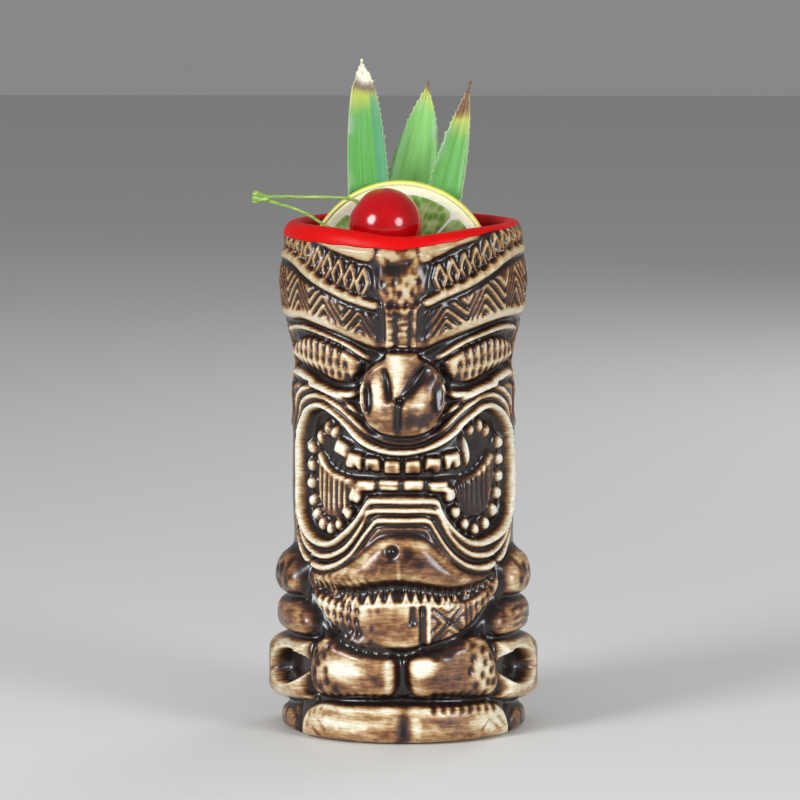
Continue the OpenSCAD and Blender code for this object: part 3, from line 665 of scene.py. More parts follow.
def carve_jaw(c):
    c.lump(JAW, 4.1, 4.6, 0.85, 0.3, 1.1)
    c.rim(JAW, 1.5, 1.1, 0, -0.5)
    c.stain_and_highlight_patch(-3, 60.0, 6, 3.0, 0.7, (1.5, 1.2), 41, 0.1)
    c.stain_and_highlight_patch(9, 56.0, 9, 3.6, 0.5, (1.5, 1.0), 42, -0.1)
    c.stain_and_highlight_patch(-12, 56.0, 8, 3.6, -0.8, (2.0, 1.4), 46, 0.0)
    c.stain_and_highlight_patch(22, 51.6, 9, 2.4, 1.1, (3, 1), 43, 0.35)
    c.stain_and_highlight_patch(-19, 51.6, 10, 2.6, 0.9, (1.0, 1.6), 44, 0.15)
    # painted highlights along the upper edge of the jaw, where the lamps catch it
    c.dents([(-20, 54.6), (-13, 59.6), (15, 58.6), (-6, 63.4), (6, 63.2), (23, 53.0)], 4, 1.2, 0, -0.6)
    c.line([(-32, 49.2), (-26, 47.4), (-19.5, 46.9), (-13.5, 47.1), (-7.6, 48.2), (-1, 49.0), (6.4, 48.1),
        (14.6, 46.8), (21.6, 47.2), (28, 48.7), (33, 51)], 1.7, -1.5, 1.4, taper=0.04)
    c.dents([(-2.9, 61.2)], 1.7, 1.6, 2.0, 2.6, power=3)
    c.dents([(-2.8, 58.4)], 1.5, 1.0, 0.3, 1.1)
    c.dents([(1.8, 61.4), (3.2, 61.0), (1.6, 59.4)], 1.1, 1.0, 0.2, 0.7)
    c.line([(-0.9, 59), (-0.7, 55), (-0.9, 51)], 0.35, 0.2, -0.8, taper=0.1)
    for n in range(7):
        c.line([(-25.6 + 2.5 * n, 52.6 - 0.1 * n), (-24.2 + 2.5 * n, 50.0)], 0.4, -0.3, 0.8, sharp=True)
    c.form(BIB, 1.9, 1.8, 0.1)
    # spikes that stand up from the bib's edge into the shadow under the jaw
    for u in (-30.4, -28.6, -26, -23.6, -22, -18.2, -16.6, -14.6, -10.6, -7.2, -3.6, 1.4, 4.4, 7.4, 9.6,
            13.2, 15, 17.4, 21.4, 23.2, 26.4, 28.8, 31):
        top = float(np.interp(abs(u), [0, 15, 34], [49.4, 47.4, 51]))
        low = float(np.interp(abs(u), [0, 15, 34], [44.8, 43.8, 49.4]))
        c.line([(u - 0.7, low), (u, low + 0.6 * (top - low)), (u + 0.1, top)], 0.42, 1.1, -1.9, sharp=True)
        c.line([(u + 0.8, low), (u, low + 0.5 * (top - low))], 0.42, 1.0, -1.6, sharp=True)
    c.line([(-33, 48.2), (-23.6, 44.8), (-14.9, 43.4), (-6.6, 44.1), (0.5, 44.5), (8.8, 44.1), (18.6, 43.4),
        (26.1, 45.6), (34, 50.2)], 0.6, 0.7, -1.2, taper=0.04)
    c.line([(-35.4, 48), (-29.2, 40.4), (-22.6, 33.8), (-16.6, 30.6), (-8.3, 28.4), (0, 28), (4.3, 28.4),
        (12.5, 30.6), (20.4, 33.6), (27.6, 38.6), (35.6, 46)], 1.2, -1.4, 1.5, taper=0.04)
    c.stain_and_highlight_patch(-3, 36.5, 9, 5.5, 0.65, (7, 0.6), 51, 0.0)
    c.dents([(-12, 40), (1.0, 42), (-2, 33)], 4.5, 2.4, 0, -0.7)
    rows = []
    for u0, z0, n in ((-31.2, 46.0, 8), (-28.8, 42.0, 7), (-25.4, 38.0, 6), (-21.6, 34.6, 3)):
        rows += [(u0 + 2.5 * i, z0 - 0.55 * i, 16, 1.0 - 0.03 * i) for i in range(n)]
    c.dents([(-25, 41.6)], 7, 5, 0, -1.6, power=3)
    c.dents(rows, 0.85, 1.6, 0.9, 2.6)
    c.dents([(-9.4, 41.8), (-7.0, 42.2), (-8.8, 36.6), (-13.4, 33.4), (-9.0, 31.8)], 0.6, 1.1, 0.3, 0.7,
        turn=12)
    for u, lo, hi in ((3.4, 38.6, 42.8), (6.3, 31.2, 43.2)):
        c.line([(u, hi), (u, lo)], 0.95, -1.2, 1.7, sharp=True)
    c.dents([(6.3, 42)], 1.2, 1.2, 0.5, 1.0)
    c.line([(8.1, 43.4), (8.1, 32)], 0.5, 0.5, -1.0, sharp=True)
    # crossed panel with nested darts
    c.line([(9.4, 42.8), (18.8, 35.2)], 0.55, -0.8, 1.5, sharp=True)
    c.line([(18.8, 42.8), (9.4, 32.8)], 0.55, -0.8, 1.5, sharp=True)
    for dart in ([(11.6, 43), (14.2, 41), (16.8, 43)], [(9.2, 40.4), (11.6, 38.2), (9.2, 35.8)],
            [(19.2, 40.6), (16.8, 38.6), (19.2, 36.6)], [(11.4, 33.2), (14.2, 35.6), (16.4, 34.6)]):
        c.line(dart, 0.42, -0.6, 1.2, sharp=True)
    for u in (20.4, 22.0):
        c.line([(u, 43.6), (u, 35.8)], 0.5, -0.8, 1.4, sharp=True)
    c.dents([(24.2, 43), (26.6, 43.8), (29, 45.6), (31.2, 47.4), (24.2, 39.6), (26.8, 41), (29.4, 43)],
        0.75, 1.45, 0.8, 1.3, turn=-20)


KNEE_LEFT = [(-31.2, 23.4), (-28.6, 30.6), (-20.6, 34.2), (-9.4, 31.6), (-2.4, 28.6), (-1.0, 21),
    (-2.8, 15.1), (-11.9, 13.9), (-24, 13), (-30, 16)]
KNEE_RIGHT = [(1.6, 21), (2.6, 28.2), (9.1, 30.7), (18.6, 34.2), (27.8, 32.0), (32.4, 25), (32.8, 17),
    (28.4, 13.0), (12.1, 13.9), (3.6, 15)]


def carve_body(c):
    # belly sunk behind the knees, arms and bib, darkened with painted shadow
    c.form([(-34, 46), (-30, 30), (-31, 13), (0, 11.5), (32, 13), (31, 30), (35, 47), (20, 36), (0, 31),
        (-20, 36)], -0.9, 3.0, 1.0)
    for knee in (KNEE_LEFT, KNEE_RIGHT):
        c.lump(knee, 5.0, 5.4, -0.3, -0.9)
    # painted highlights: bright patches on the upper parts of both knees, where the lamps catch them
    c.dents([(-17.6, 23.4)], 7.0, 4.2, -0.2, -1.9, power=3)
    c.dents([(-3.7, 21.6)], 1.3, 4.8, 0, -1.2, power=3)
    c.dents([(6.2, 24.2)], 3.8, 3.0, -0.2, -1.9, power=3)
    c.dents([(24.4, 22.6)], 5.2, 7.0, 0, -1.3, power=3)
    c.stain_and_highlight_patch(-12, 19.0, 11, 3.8, 0.8, (6, 1.1), 61, 0.08)
    c.stain_and_highlight_patch(13, 19.6, 9, 4.2, 0.65, (6, 1.1), 62, 0.0)
    c.stain_and_highlight_patch(-11, 30.4, 9, 2.6, 1.0, (2.4, 1.2), 63, 0.3)
    c.stain_and_highlight_patch(12, 30.4, 11, 2.8, 1.1, (2.4, 1.2), 64, 0.3)
    # feet
    c.form([(-32.4, -6), (-34.2, 2), (-32.6, 8), (-26, 11.6), (-14, 12.7), (-1.2, 12.4), (1.6, 12.2),
        (14, 12.5), (29, 11.6), (35.4, 8.4), (37.4, 2), (35.6, -6)], 3.0, 3.2, -0.2)
    # painted highlights across the top of the feet
    c.dents([(-17, 5.6)], 10, 2.6, 0, -1.0, power=3)
    c.dents([(25, 5.4)], 6, 2.2, 0, -0.9, power=3)
    c.dents([(4.2, 6.0)], 1.6, 3.4, 0, -0.9, power=3)
    c.stain_and_highlight_patch(-14, 9.4, 15, 2.2, 0.9, (6, 0.7), 71, 0.25)
    c.stain_and_highlight_patch(-12, 3.4, 15, 2.2, 0.8, (6, 0.6), 72, 0.15)
    c.stain_and_highlight_patch(13, 6.6, 9, 3.8, 0.9, (4, 0.9), 73, 0.25)
    c.stain_and_highlight_patch(14, 1.6, 16, 1.6, 0.7, (5, 0.6), 74, 0.2)
    c.line([(-33, 13.6), (-20, 13.2), (0.4, 13.6), (20, 13.0), (34, 12.4)], 0.95, -1.3, 1.3)
    c.dents([(0.6, 6.5)], 2.4, 7.5, 1.3, 0.9)
    c.line([(-26, 6.4), (-23.4, 3.4)], 0.35, -0.5, 0.7, sharp=True)
    c.line([(-28, 3.6), (-25.4, 1.6)], 0.35, -0.5, 0.7, sharp=True)
    for a, b in (((24.6, 3.4), (27.4, 6.4)), ((28.2, 6.0), (31.6, 2.8)), ((31, 7), (34.4, 3.8))):
        c.line([a, b], 0.35, -0.5, 0.7, sharp=True)
    c.dents([(u, 10.7 - 0.0024 * (u - 9) ** 2) for u in np.arange(9.5, 32, 2.9)], 1.0, 1.2, 0.8, 1.6,
        turn=-25)
    c.dents([(-29.6, 7.6), (-27.6, 9.2), (-30.4, 4.6), (-25.2, 10)], 0.5, 0.8, 0.4, 0.7)
    # marks on the knees
    c.dents([(u, 15.4 - 0.01 * abs(u)) for u in np.arange(9.6, 28, 2.7)], 1.05, 1.15, 0.85, 1.7)
    c.dents([(26.4, 18.8), (24.4, 21.2), (27.6, 22.4), (22, 17.8), (27.8, 26.4), (25.4, 25), (21.2, 26.6),
        (24.6, 28.8), (20.4, 22.8), (28.6, 18.4), (30.4, 21.4), (30.6, 25.4), (29.6, 29)], 0.85, 1.25, 0.75,
        2.0)
    c.dents([(u, 15.0) for u in np.arange(-24, -3, 2.7)], 0.9, 0.9, 0.6, 1.3)
    c.dents([(-19.4, 16.6), (-22.2, 19.4), (-24.6, 17.2), (-22.6, 22.6), (-18.8, 31), (-14.6, 31),
        (-11.6, 29.8), (-22, 30.4), (-8.4, 29.2), (-25.4, 25), (-23.4, 27.4), (-27, 22), (-27.2, 18.4),
        (-26.6, 28)], 0.8, 1.3, 0.8, 1.9)
    c.dents([(8.2, 28.6), (11.4, 29.6), (14.6, 30.6), (18, 31.4), (21.4, 30.9), (9.8, 27.6), (13.4, 28.4)],
        1.05, 0.95, 0.55, 1.2)
    for n in range(3):
        c.line([(-27 + 1.5 * n, 30 - 0.4 * n), (-29.6 + 1.5 * n, 25), (-29.6 + 1.6 * n, 20),
            (-28 + 1.5 * n, 15.6)], 0.36, -0.55, 1.3, taper=0.12)
        c.line([(27.6 - 1.4 * n, 31 - 0.3 * n), (31.2 - 1.4 * n, 26), (31.6 - 1.4 * n, 22)], 0.36, -0.5,
            1.1, taper=0.12)
    for side in (0, 1):
        turn = on_side(side, 0.8)
        # shoulder, forearm and the bent elbow with its deep hollow
        c.lump(turn([(-62, 47), (-58.5, 55.6), (-49, 58), (-40.8, 55.6), (-36.6, 50.6), (-37.8, 45.4),
            (-46, 43.0), (-57, 43.2)]), 5.2, 6.5, 0.3 if side else 0.75, -0.3)
        c.line(turn([(-34.6, 57), (-35.4, 50), (-35.6, 44), (-33, 38), (-30.8, 32)]), 1.1, -1.2, 1.1)
        c.lump(turn([(-64, 37.4), (-58, 42.2), (-46, 42.4), (-34.6, 41.4), (-29.4, 37.2), (-32, 31.8),
            (-45, 31.2), (-58, 31.4)]), 4.0, 4.6, 0.55, -0.4)
        c.line(turn([(-66, 42.8), (-50, 42.8), (-38, 43.6)]), 0.8, -1.2, 1.1)
        c.line(turn([(-66, 30.8), (-50, 30.7), (-36, 31.2), (-30, 32.0)]), 0.9, -1.4, 1.2)
        c.form(turn([(-76, 18), (-72, 27), (-58, 29.6), (-42, 30.0), (-33, 30.2), (-31.2, 28.4),
            (-31.4, 15), (-29.6, 12.4), (-42, 10.6), (-58, 8.6), (-71, 10)]), 6.6, 5.0, 0.55, level=-0.5)
        oval = [(-40.4 + 9.4 * math.cos(a),
            21.6 + 5.8 * math.sin(a) + 1.4 * math.cos(a)) for a in np.linspace(0, 2 * math.pi, 25)[:-1]]
        c.form(turn(oval), -4.6, 3.2, 1.9, level=3.0)
        elbow, arm = ((-54, -47), (54.8, 47.8))[side]
        c.stain_and_highlight_patch(elbow, 22, 9, 8, 0.7, (2.0, 2.4), 81 + side, 0.1)
        c.stain_and_highlight_patch(arm, 50, 9, 6, 0.9, (1.8, 1.8), 83 + side, 0.1)
        c.stain_and_highlight_patch(arm, 37, 10, 4, 0.8, (2.4, 1.4), 85 + side, 0.1)
        c.line(turn([(-66, 9.2), (-52, 8.0), (-38, 9.6)]), 0.9, -1.2, 1.0)
        c.dents(turn([(-50, 51.5), (-45.6, 52.5), (-42, 49), (-47.4, 47), (-52.8, 47.5), (-55, 52.6),
            (-42.6, 53.8)]), 1.0, 1.5, 0.7, 1.3, turn=20)
        # back foot beside the slab
        c.form(turn([(-58, -3), (-57, 6), (-48, 7.2), (-42, 6.4), (-40.2, 2), (-40.6, -4)]), 1.6, 2.4, 0.5)
        c.line(turn([(-38.4, 9), (-38.4, 3), (-38.6, -2)]), 0.8, -1.1, 1.1)
        c.line(turn([(-46.5, 6.6), (-47, -1)]), 0.4, -0.6, 0.8)
    for z in (39.4, 36.8, 34.4):
        c.line([(38, z), (44, z + 0.5), (52, z + 0.2), (58, z)], 0.5, -0.6, 0.6, taper=0.1)


def carve_back(c):
    """The back can be anything that suits the front: a headband, long hair and a spine plate."""
    g = GIRTH * math.pi

    def back_only(U, Z):
        return soft(np.minimum(U, 2 * g - U), 58, 72)

    # the headband and the zigzag band run on round the back
    c.line([(58, 153.4), (80, 152.6), (g, 152.4), (2 * g - 80, 152.6), (2 * g - 58, 152.9)], 1.25, 1.4,
        -0.25, power=3, limit=back_only)
    c.line([(58, 151.4), (g, 150.3), (2 * g - 58, 151)], 0.7, -0.8, 0.6, limit=back_only)
    c.line([(56, 132.4), (80, 131.6), (g, 131.4), (2 * g - 80, 131.6), (2 * g - 56, 131.9)], 1.1, 1.1, -0.5,
        power=3, limit=back_only)
    c.line([(56, 130.2), (g, 129.2), (2 * g - 56, 129.8)], 0.8, -1.0, 0.9)
    teeth = [(62 + 5.6 * n, 147 if n % 2 else 135.5) for n in range(19)]
    for lift in (-2.6, 0, 2.6):
        c.line(moved(teeth, lift), 0.5, 0.75, -0.5, sharp=True)
        c.line(moved(teeth, lift - 1.3), 0.45, -0.5, 0.55, sharp=True)
    # hair in long wavy locks down to a rolled hem
    for n in range(15):
        u = 70 + 6.2 * n
        c.line([(u, 128), (u + 1.2, 116), (u - 1.0, 102), (u + 1.0, 88), (u - 0.4, 72), (u + 0.3, 63)], 0.9,
            -1.1, 1.0, taper=0.04)
        c.line([(u + 3.1, 127), (u + 4.0, 115), (u + 2.2, 101), (u + 3.9, 88), (u + 2.8, 73),
            (u + 3.3, 64)], 0.4, -0.4, 0.6, taper=0.06)
    c.line([(60, 60.5), (80, 59.5), (g, 59), (2 * g - 80, 59.5), (2 * g - 60, 60.5)], 1.4, 1.4, -0.7,
        power=3, limit=back_only)
    c.line([(60, 57.8), (g, 56.4), (2 * g - 60, 57.8)], 0.9, -1.2, 1.0)
    # spine plate with chevrons, haunches and back feet
    plate = [(g - 17, 53), (g, 54), (g + 17, 53), (g + 13, 33), (g, 27), (g - 13, 33)]
    c.form(plate, 1.8, 2.4, -0.3)
    for k in range(4):
        c.line([(g - 13 + 1.3 * k, 50 - 4.6 * k), (g, 44.5 - 4.6 * k), (g + 13 - 1.3 * k, 50 - 4.6 * k)],
            0.5, -0.8, 1.0, sharp=True)
    for s in (-1, 1):
        c.form([(g + s * 8, 12), (g + s * 10, 27), (g + s * 22, 31), (g + s * 33, 27), (g + s * 35, 13),
            (g + s * 22, 9.5)], 3.2, 5.0, -0.5)
        c.line([(g + s * 15, 14.5), (g + s * 27, 14.5), (g + s * 29, 21.5), (g + s * 21, 25),
            (g + s * 16, 20.6), (g + s * 21.6, 18.4)], 0.6, -0.9, 1.0, taper=0.06)
        c.form([(g + s * 4, -3), (g + s * 5, 7), (g + s * 20, 8.4), (g + s * 42, 7), (g + s * 43, -3)], 1.8,
            2.4, -0.4)
        c.dents([(g + s * (9 + 4.2 * n), 5.0) for n in range(8)], 0.9, 1.2, 0.6, 0.9)
    c.line([(g - 46, 9.4), (g, 9.6), (g + 46, 9.4)], 0.9, -1.1, 1.0)


# ---------------------------------------------------------------- clay body
PROFILE = [(0, 36.4), (1.6, 37.4), (7, 37.0), (14, 36.8), (30, 36.7), (46, 36.2), (60, 34.8), (75, 35.2),
    (97, 35.3), (101, 34.7), (108, 35.1), (116, 33.9), (124, 35.2), (131, 37.2), (137, 38.2), (143, 38.8),
    (149, 38.0), (152, 37.7), (156.2, 38.0)]
LIP = [(38.0, 156.2), (37.98, 156.8), (37.9, 157.4), (37.8, 158.0), (37.65, 158.6), (37.4, 159.3),
    (37.0, 160.0), (36.2, 160.8), (35.2, 161.2), (34.2, 161.3), (33.3, 161.0), (32.9, 160.4)]


def turned_radius(z):
    """Radius of the outside before it is carved, in mm."""
    p = np.array(PROFILE)
    f = lambda v: np.interp(v, p[:, 0], p[:, 1])
    return (f(z - 1.2) + 2 * f(z) + f(z + 1.2)) / 4


def lip_dip(theta):
    """How far the lip dips at the front, in mm."""
    return 1.9 * np.exp(-((theta / 0.42) ** 2)) + 0.25 * np.sin(3 * theta + 1)


def set_round(mesh, theta, r, z):
    """Puts points at their angle, radius and height, with the lip's dip."""
    dip = np.where(z > 140, lip_dip(theta) * soft(z, 146, 160), 0)
    set_points(mesh, np.stack([r * np.sin(theta), -r * np.cos(theta), z - dip], 1) * MM)


def glaze_edge(theta):
    """Height of the red glaze's brushed edge round the lip, in mm, before the lip's dip."""
    turns = [-180, -125, -105, -87, -70, -48, -35, -11, 0, 11, 29, 51, 72, 90, 120, 180]
    heights = [160.3, 160.2, 158.4, 156.9, 157.0, 156.8, 156.5, 157.6,
        157.3, 158.4, 159.0, 160.3, 160.8, 160.8, 160.5, 160.3]
    edge = np.interp(np.degrees(theta), turns, heights)
    return edge + 0.16 * np.sin(9 * theta + 1) + 0.1 * np.sin(23 * theta)


def sample(field, u, z):
    """The map's value at places on the body, read between its points."""
    x = np.mod((u - U0) / STEP, COLS)
    y = np.clip(z / STEP, 0, ROWS - 1.001)
    i, k = x.astype(int), y.astype(int)
    fx, fy = x - i, y - k
    j = (i + 1) % COLS
    i = i % COLS
    low = field[k, i] * (1 - fx) + field[k, j] * fx
    high = field[k + 1, i] * (1 - fx) + field[k + 1, j] * fx
    return low * (1 - fy) + high * fy


def grit(u, z, seed, *sizes):
    """Smooth random mottling between -1 and 1, joined round the back; sizes are in mm."""
    rng = np.random.default_rng(seed)
    total = np.zeros(np.broadcast(u, z).shape)
    for size_u, size_z, amount in sizes:
        nu, nz = max(4, int(2 * math.pi * GIRTH / size_u)), int(170 / size_z) + 2
        table = rng.uniform(-1, 1, (nz, nu))
        x = np.mod(u / (2 * math.pi * GIRTH) * nu, nu)
        y = np.clip(z / size_z, 0, nz - 1.001)
        i, k = np.floor(x).astype(int) % nu, np.floor(y).astype(int)
        fx, fy = soft(x - np.floor(x), 0, 1), soft(y - k, 0, 1)
        j = (i + 1) % nu
        low = table[k, i] * (1 - fx) + table[k, j] * fx
        high = table[k + 1, i] * (1 - fx) + table[k + 1, j] * fx
        total += amount * (low * (1 - fy) + high * fy)
    return total


def stained_ceramic():
    """Slip-cast earthenware: brown stain wiped off the high places, under a clear satin glaze.
    The eye sees ivory edges, amber slopes and near-black hollows, all wet-looking."""
    colours = bpy.context.scene.tiki_colours
    material, tree, shader, place = surface("stained_ceramic", IOR=1.5, Coat_Weight=0.25,
        Coat_Roughness=0.16, Coat_IOR=1.5)
    # the stain attribute also carries the painted highlights and painted shadow from the carving map
    stain = attribute(tree, "stain")
    # brush streaks about 0.5 mm across and 4 mm long, and mottling about 1.5 mm across
    streak_place = add(tree, "ShaderNodeMapping", {"Scale": (270, 270, 1900)}, {"Vector": place}).outputs[0]
    streaks = noise(tree, streak_place, 1.0, 3.0, 0.6)
    mottle = noise(tree, place, 620.0, 4.0, 0.62)
    stain = math_node(tree, "MULTIPLY_ADD", math_node(tree, "SUBTRACT", streaks, 0.5), 0.52, stain)
    stain = math_node(tree, "MULTIPLY_ADD", math_node(tree, "SUBTRACT", mottle, 0.5), 0.34, stain)
    tone = ramp(tree, stain, [
        (0.0, colours.ivory), (0.18, colours.cream), (0.36, colours.amber), (0.52, colours.brown),
        (0.7, colours.dark), (0.95, colours.black)])
    # the upper band took the stain more evenly and reads warmer
    height = add(tree, "ShaderNodeSeparateXYZ", None, {"Vector": place}).outputs["Z"]
    warm = remap(tree, height, (0.112, 0.150), (0.0, 1.0))
    colour = mix_colour(tree, warm, tone.outputs[0], linear("#D0BEA2"), "MULTIPLY")
    tree.links.new(colour, shader.inputs["Base Color"])
    gloss = ramp(tree, stain, [(0.0, 0.34), (0.5, 0.32), (1.0, 0.28)]).outputs[0]
    rough = math_node(tree, "MULTIPLY_ADD", math_node(tree, "SUBTRACT", mottle, 0.5), 0.18, gloss)
    tree.links.new(rough, shader.inputs["Roughness"])
    # the glaze settles in low waves about 2 mm long
    waves = noise(tree, place, 480.0, 2.0)
    bump = add(tree, "ShaderNodeBump", {"Strength": 0.35, "Distance": 0.0002}, {"Height": waves})
    tree.links.new(bump.outputs[0], shader.inputs["Normal"])
    return material


BODY_COLUMNS = 352
# the smallest radius that the carving may reach, in mm
INNERMOST = 32.0


def build_clay_body(depth):
    """Turns the body, carves it to the given share of the full depth and lays the stain."""
    c = carve()
    lip_foot = LIP[0][1]
    # outline: middle of the base, up the outside, over the lip and down the hollow
    low = np.linspace(0, 50, 78)
    high = np.linspace(50, lip_foot, 174)[1:]
    outline = [(0.01, 0)] + [(float(r), 0.0) for r in (12, 24, 33)]
    outline += [(float(turned_radius(z)), float(z)) for z in np.concatenate([low, high])]
    outline += LIP[1:]
    outline += [(32.9, 158), (32.85, 152), (32.5, 142), (31.6, 134), (30.75, 126), (30.3, 118), (30.3, 60),
        (30.3, 18), (29.4, 11.2), (26, 7.2), (20, 6.3), (8, 6.25), (0.01, 6.25)]
    mesh = turned_mesh("clay_body", outline, BODY_COLUMNS)
    co = points_of(mesh) / MM
    r = np.hypot(co[:, 0], co[:, 1])
    even = np.arctan2(co[:, 0], -co[:, 1])
    # closer columns over the face, wider ones at the back
    theta = even - 0.36 * np.sin(even) - 0.05 * np.sin(2 * even)
    z = co[:, 2]
    u = theta * GIRTH
    below_lip = (z < lip_foot + 0.05) & (np.abs(r - turned_radius(z)) < 0.02)
    outside = below_lip | ((z >= lip_foot - 0.01) & (r > 35.9))
    rise = sample(blur(c.height, 0.24), u, z) * depth
    rise += grit(u, z, 4, (9, 7, 0.12), (3, 3, 0.05))
    edge = glaze_edge(theta)
    rise *= (1 - soft(z, edge - 1.2, edge - 0.2)) * (1 - soft(z, 158.8, 160.6)) * soft(z, 0.0, 1.2)
    # the deepest hollows never break through to the inside
    r = np.where(outside, np.maximum(r + rise, INNERMOST), r)
    set_round(mesh, theta, r, z)
    # stain gathers in hollows and is wiped off what stands up
    h = c.height
    fine, broad, wide = blur(h, 0.55), blur(h, 1.6), blur(h, 4.5)
    hollow = 0.55 * (fine - h) + 0.42 * np.clip(broad - h, -0.8, 9) + 0.16 * np.clip(wide - h, -0.6, 9)
    # the carving map's stain, which also holds the painted highlights and painted shadow, goes into the
    # stain attribute here
    stain_and_painted_light = blur(np.clip(c.stain_and_painted_light, -1.9, 1.8), 0.25)
    UU = (U0 + STEP * np.arange(COLS))[None, :]
    ZZ = (STEP * np.arange(ROWS))[:, None]
    patch = grit(UU, ZZ, 9, (14, 10, 0.5), (5, 3.2, 0.5), (1.8, 1.2, 0.35))
    stain = 0.66 - 0.27 * soft(h, 0.2, 2.6) + 0.60 * hollow + 0.30 * stain_and_painted_light + 0.16 * patch
    stain = blur(np.clip(stain, 0.02, 1.0), 0.16)
    store(mesh, "stain", np.where(outside, sample(stain, u, z), 0.3))
    finish_piece("mug_clay_body", mesh, stained_ceramic(), "ceramic_body", "mug")


# ---------------------------------------------------------------- red glaze
def red_glaze():
    """Fire-engine red brushing glaze: thick, opaque and very glossy, with a hand-brushed edge."""
    material, tree, shader, place = surface("red_brushed_glaze", IOR=1.5, Roughness=0.42,
        Specular_IOR_Level=0.16)
    colours = bpy.context.scene.tiki_colours
    cloud = noise(tree, place, 160.0, 3.0)
    colour = mix_colour(tree, cloud, linear("#C00505"), linear(colours.red))
    tree.links.new(colour, shader.inputs["Base Color"])
    # brush ripples about 1.5 mm apart along the lip
    ripples = noise(tree, place, 420.0, 1.0)
    bump = add(tree, "ShaderNodeBump", {"Strength": 0.35, "Distance": 0.0002}, {"Height": ripples})
    tree.links.new(bump.outputs[0], shader.inputs["Normal"])
    return material


def build_red_glaze(skin):
    """A skin that lines the hollow, laps over the lip and ends in a brushed edge."""
    inner = [(0.01, 7.0), (10, 7.0), (20, 7.05), (25, 7.8), (28.3, 10.6), (29.4, 14), (29.6, 20),
        (29.6, 45), (29.6, 70), (29.6, 95), (29.6, 112), (29.7, 120), (30.2, 126), (31.0, 132), (31.6, 139),
        (32.0, 147), (32.15, 152), (32.2, 156), (32.25, 159), (32.5, 160.4), (33.1, 161.2), (33.8, 161.55)]
    over = [(34.5, 161.62), (35.3, 161.5), (36.2, 161.15), (37.0, 160.45), (37.6, 159.4), (38.0, 158.2),
        (38.15, 157.0), (38.2, 156.0), (38.2, 155.0)]
    path = smooth([(33.8, 161.55)] + over)
    # the lap's rings start at false heights, which tell them apart until they are laid on the lip
    n, front, hind = 16, 170.0, 200.0
    lap = [(35 + 0.2 * i, front + i) for i in range(n)]
    hidden = [(35 + 0.2 * i, hind - i) for i in range(n)]
    back = [(32.9, 160), (32.85, 152), (32.5, 142), (31.6, 134), (30.7, 126), (30.2, 118), (30.2, 60),
        (30.2, 18), (29.2, 11.6), (25.8, 7.6), (20, 6.5), (0.01, 6.45)]
    mesh = turned_mesh("red_glaze", inner + lap + hidden + back, 300)
    co = points_of(mesh) / MM
    theta = np.arctan2(co[:, 0], -co[:, 1])
    r = np.hypot(co[:, 0], co[:, 1])
    z = co[:, 2].copy()
    edge = glaze_edge(theta)
    reach = np.concatenate([[0], np.cumsum(np.hypot(*np.diff(path, axis=0).T))])
    stop = np.interp(-edge, -path[5:, 1], reach[5:])
    for base, sign in ((front, 1), (hind, -1)):
        for i in range(n):
            rows = np.abs(z - (base + sign * i)) < 1e-3
            s = (i + 0.4) / (n - 0.6) * stop[rows]
            rr, zz = np.interp(s, reach, path[:, 0]), np.interp(s, reach, path[:, 1])
            e = 0.3
            dr = np.interp(s + e, reach, path[:, 0]) - np.interp(s - e, reach, path[:, 0])
            dz = np.interp(s + e, reach, path[:, 1]) - np.interp(s - e, reach, path[:, 1])
            size = np.maximum(np.hypot(dr, dz), 1e-6)
            k = skin if sign < 0 else 0.16 * (i / (n - 1)) ** 8
            r[rows] = rr + dz / size * k
            z[rows] = zz - dr / size * k
    set_round(mesh, theta, r, z)
    finish_piece("mug_red_lining", mesh, red_glaze(), "red_glaze_lining", "mug")


# ---------------------------------------------------------------- leaves
LEAVES = {
    # half: half the width where widest; taper and power: how the tip narrows; foot: width of the foot
    # as a share; wide and blunt: fuller middle and tip; dry: length of the dead tip; cream: straw-pale tip;
    # left and right: how strong the spines are on each edge; the last key is painted light: how much
    # lighter the green is made, so that a leaf left in shade looks lit
    "left": dict(node="pineapple_leaf_left", body="leaf_left", taper=13.5, power=1.0, foot=0.7, half=7.0,
    dry=10.4, cream=1.0, seed=3, wide=0.02, left=0.12, right=1.0, blunt=0.35, painted_lift=0.0),
    "middle": dict(node="pineapple_leaf_middle", body="leaf_middle", taper=16.5, power=1.25, foot=0.55,
    half=7.4, dry=2.4, cream=0.0, seed=7, wide=0.22, left=1.0, right=0.8, blunt=0.0, painted_lift=0.2),
    "right": dict(node="pineapple_leaf_right", body="leaf_right", taper=20.0, power=1.2, foot=0.5, half=5.6,
    dry=11.0, cream=0.0, seed=12, wide=0.2, left=1.0, right=0.5, blunt=0.0, painted_lift=0.04),
}


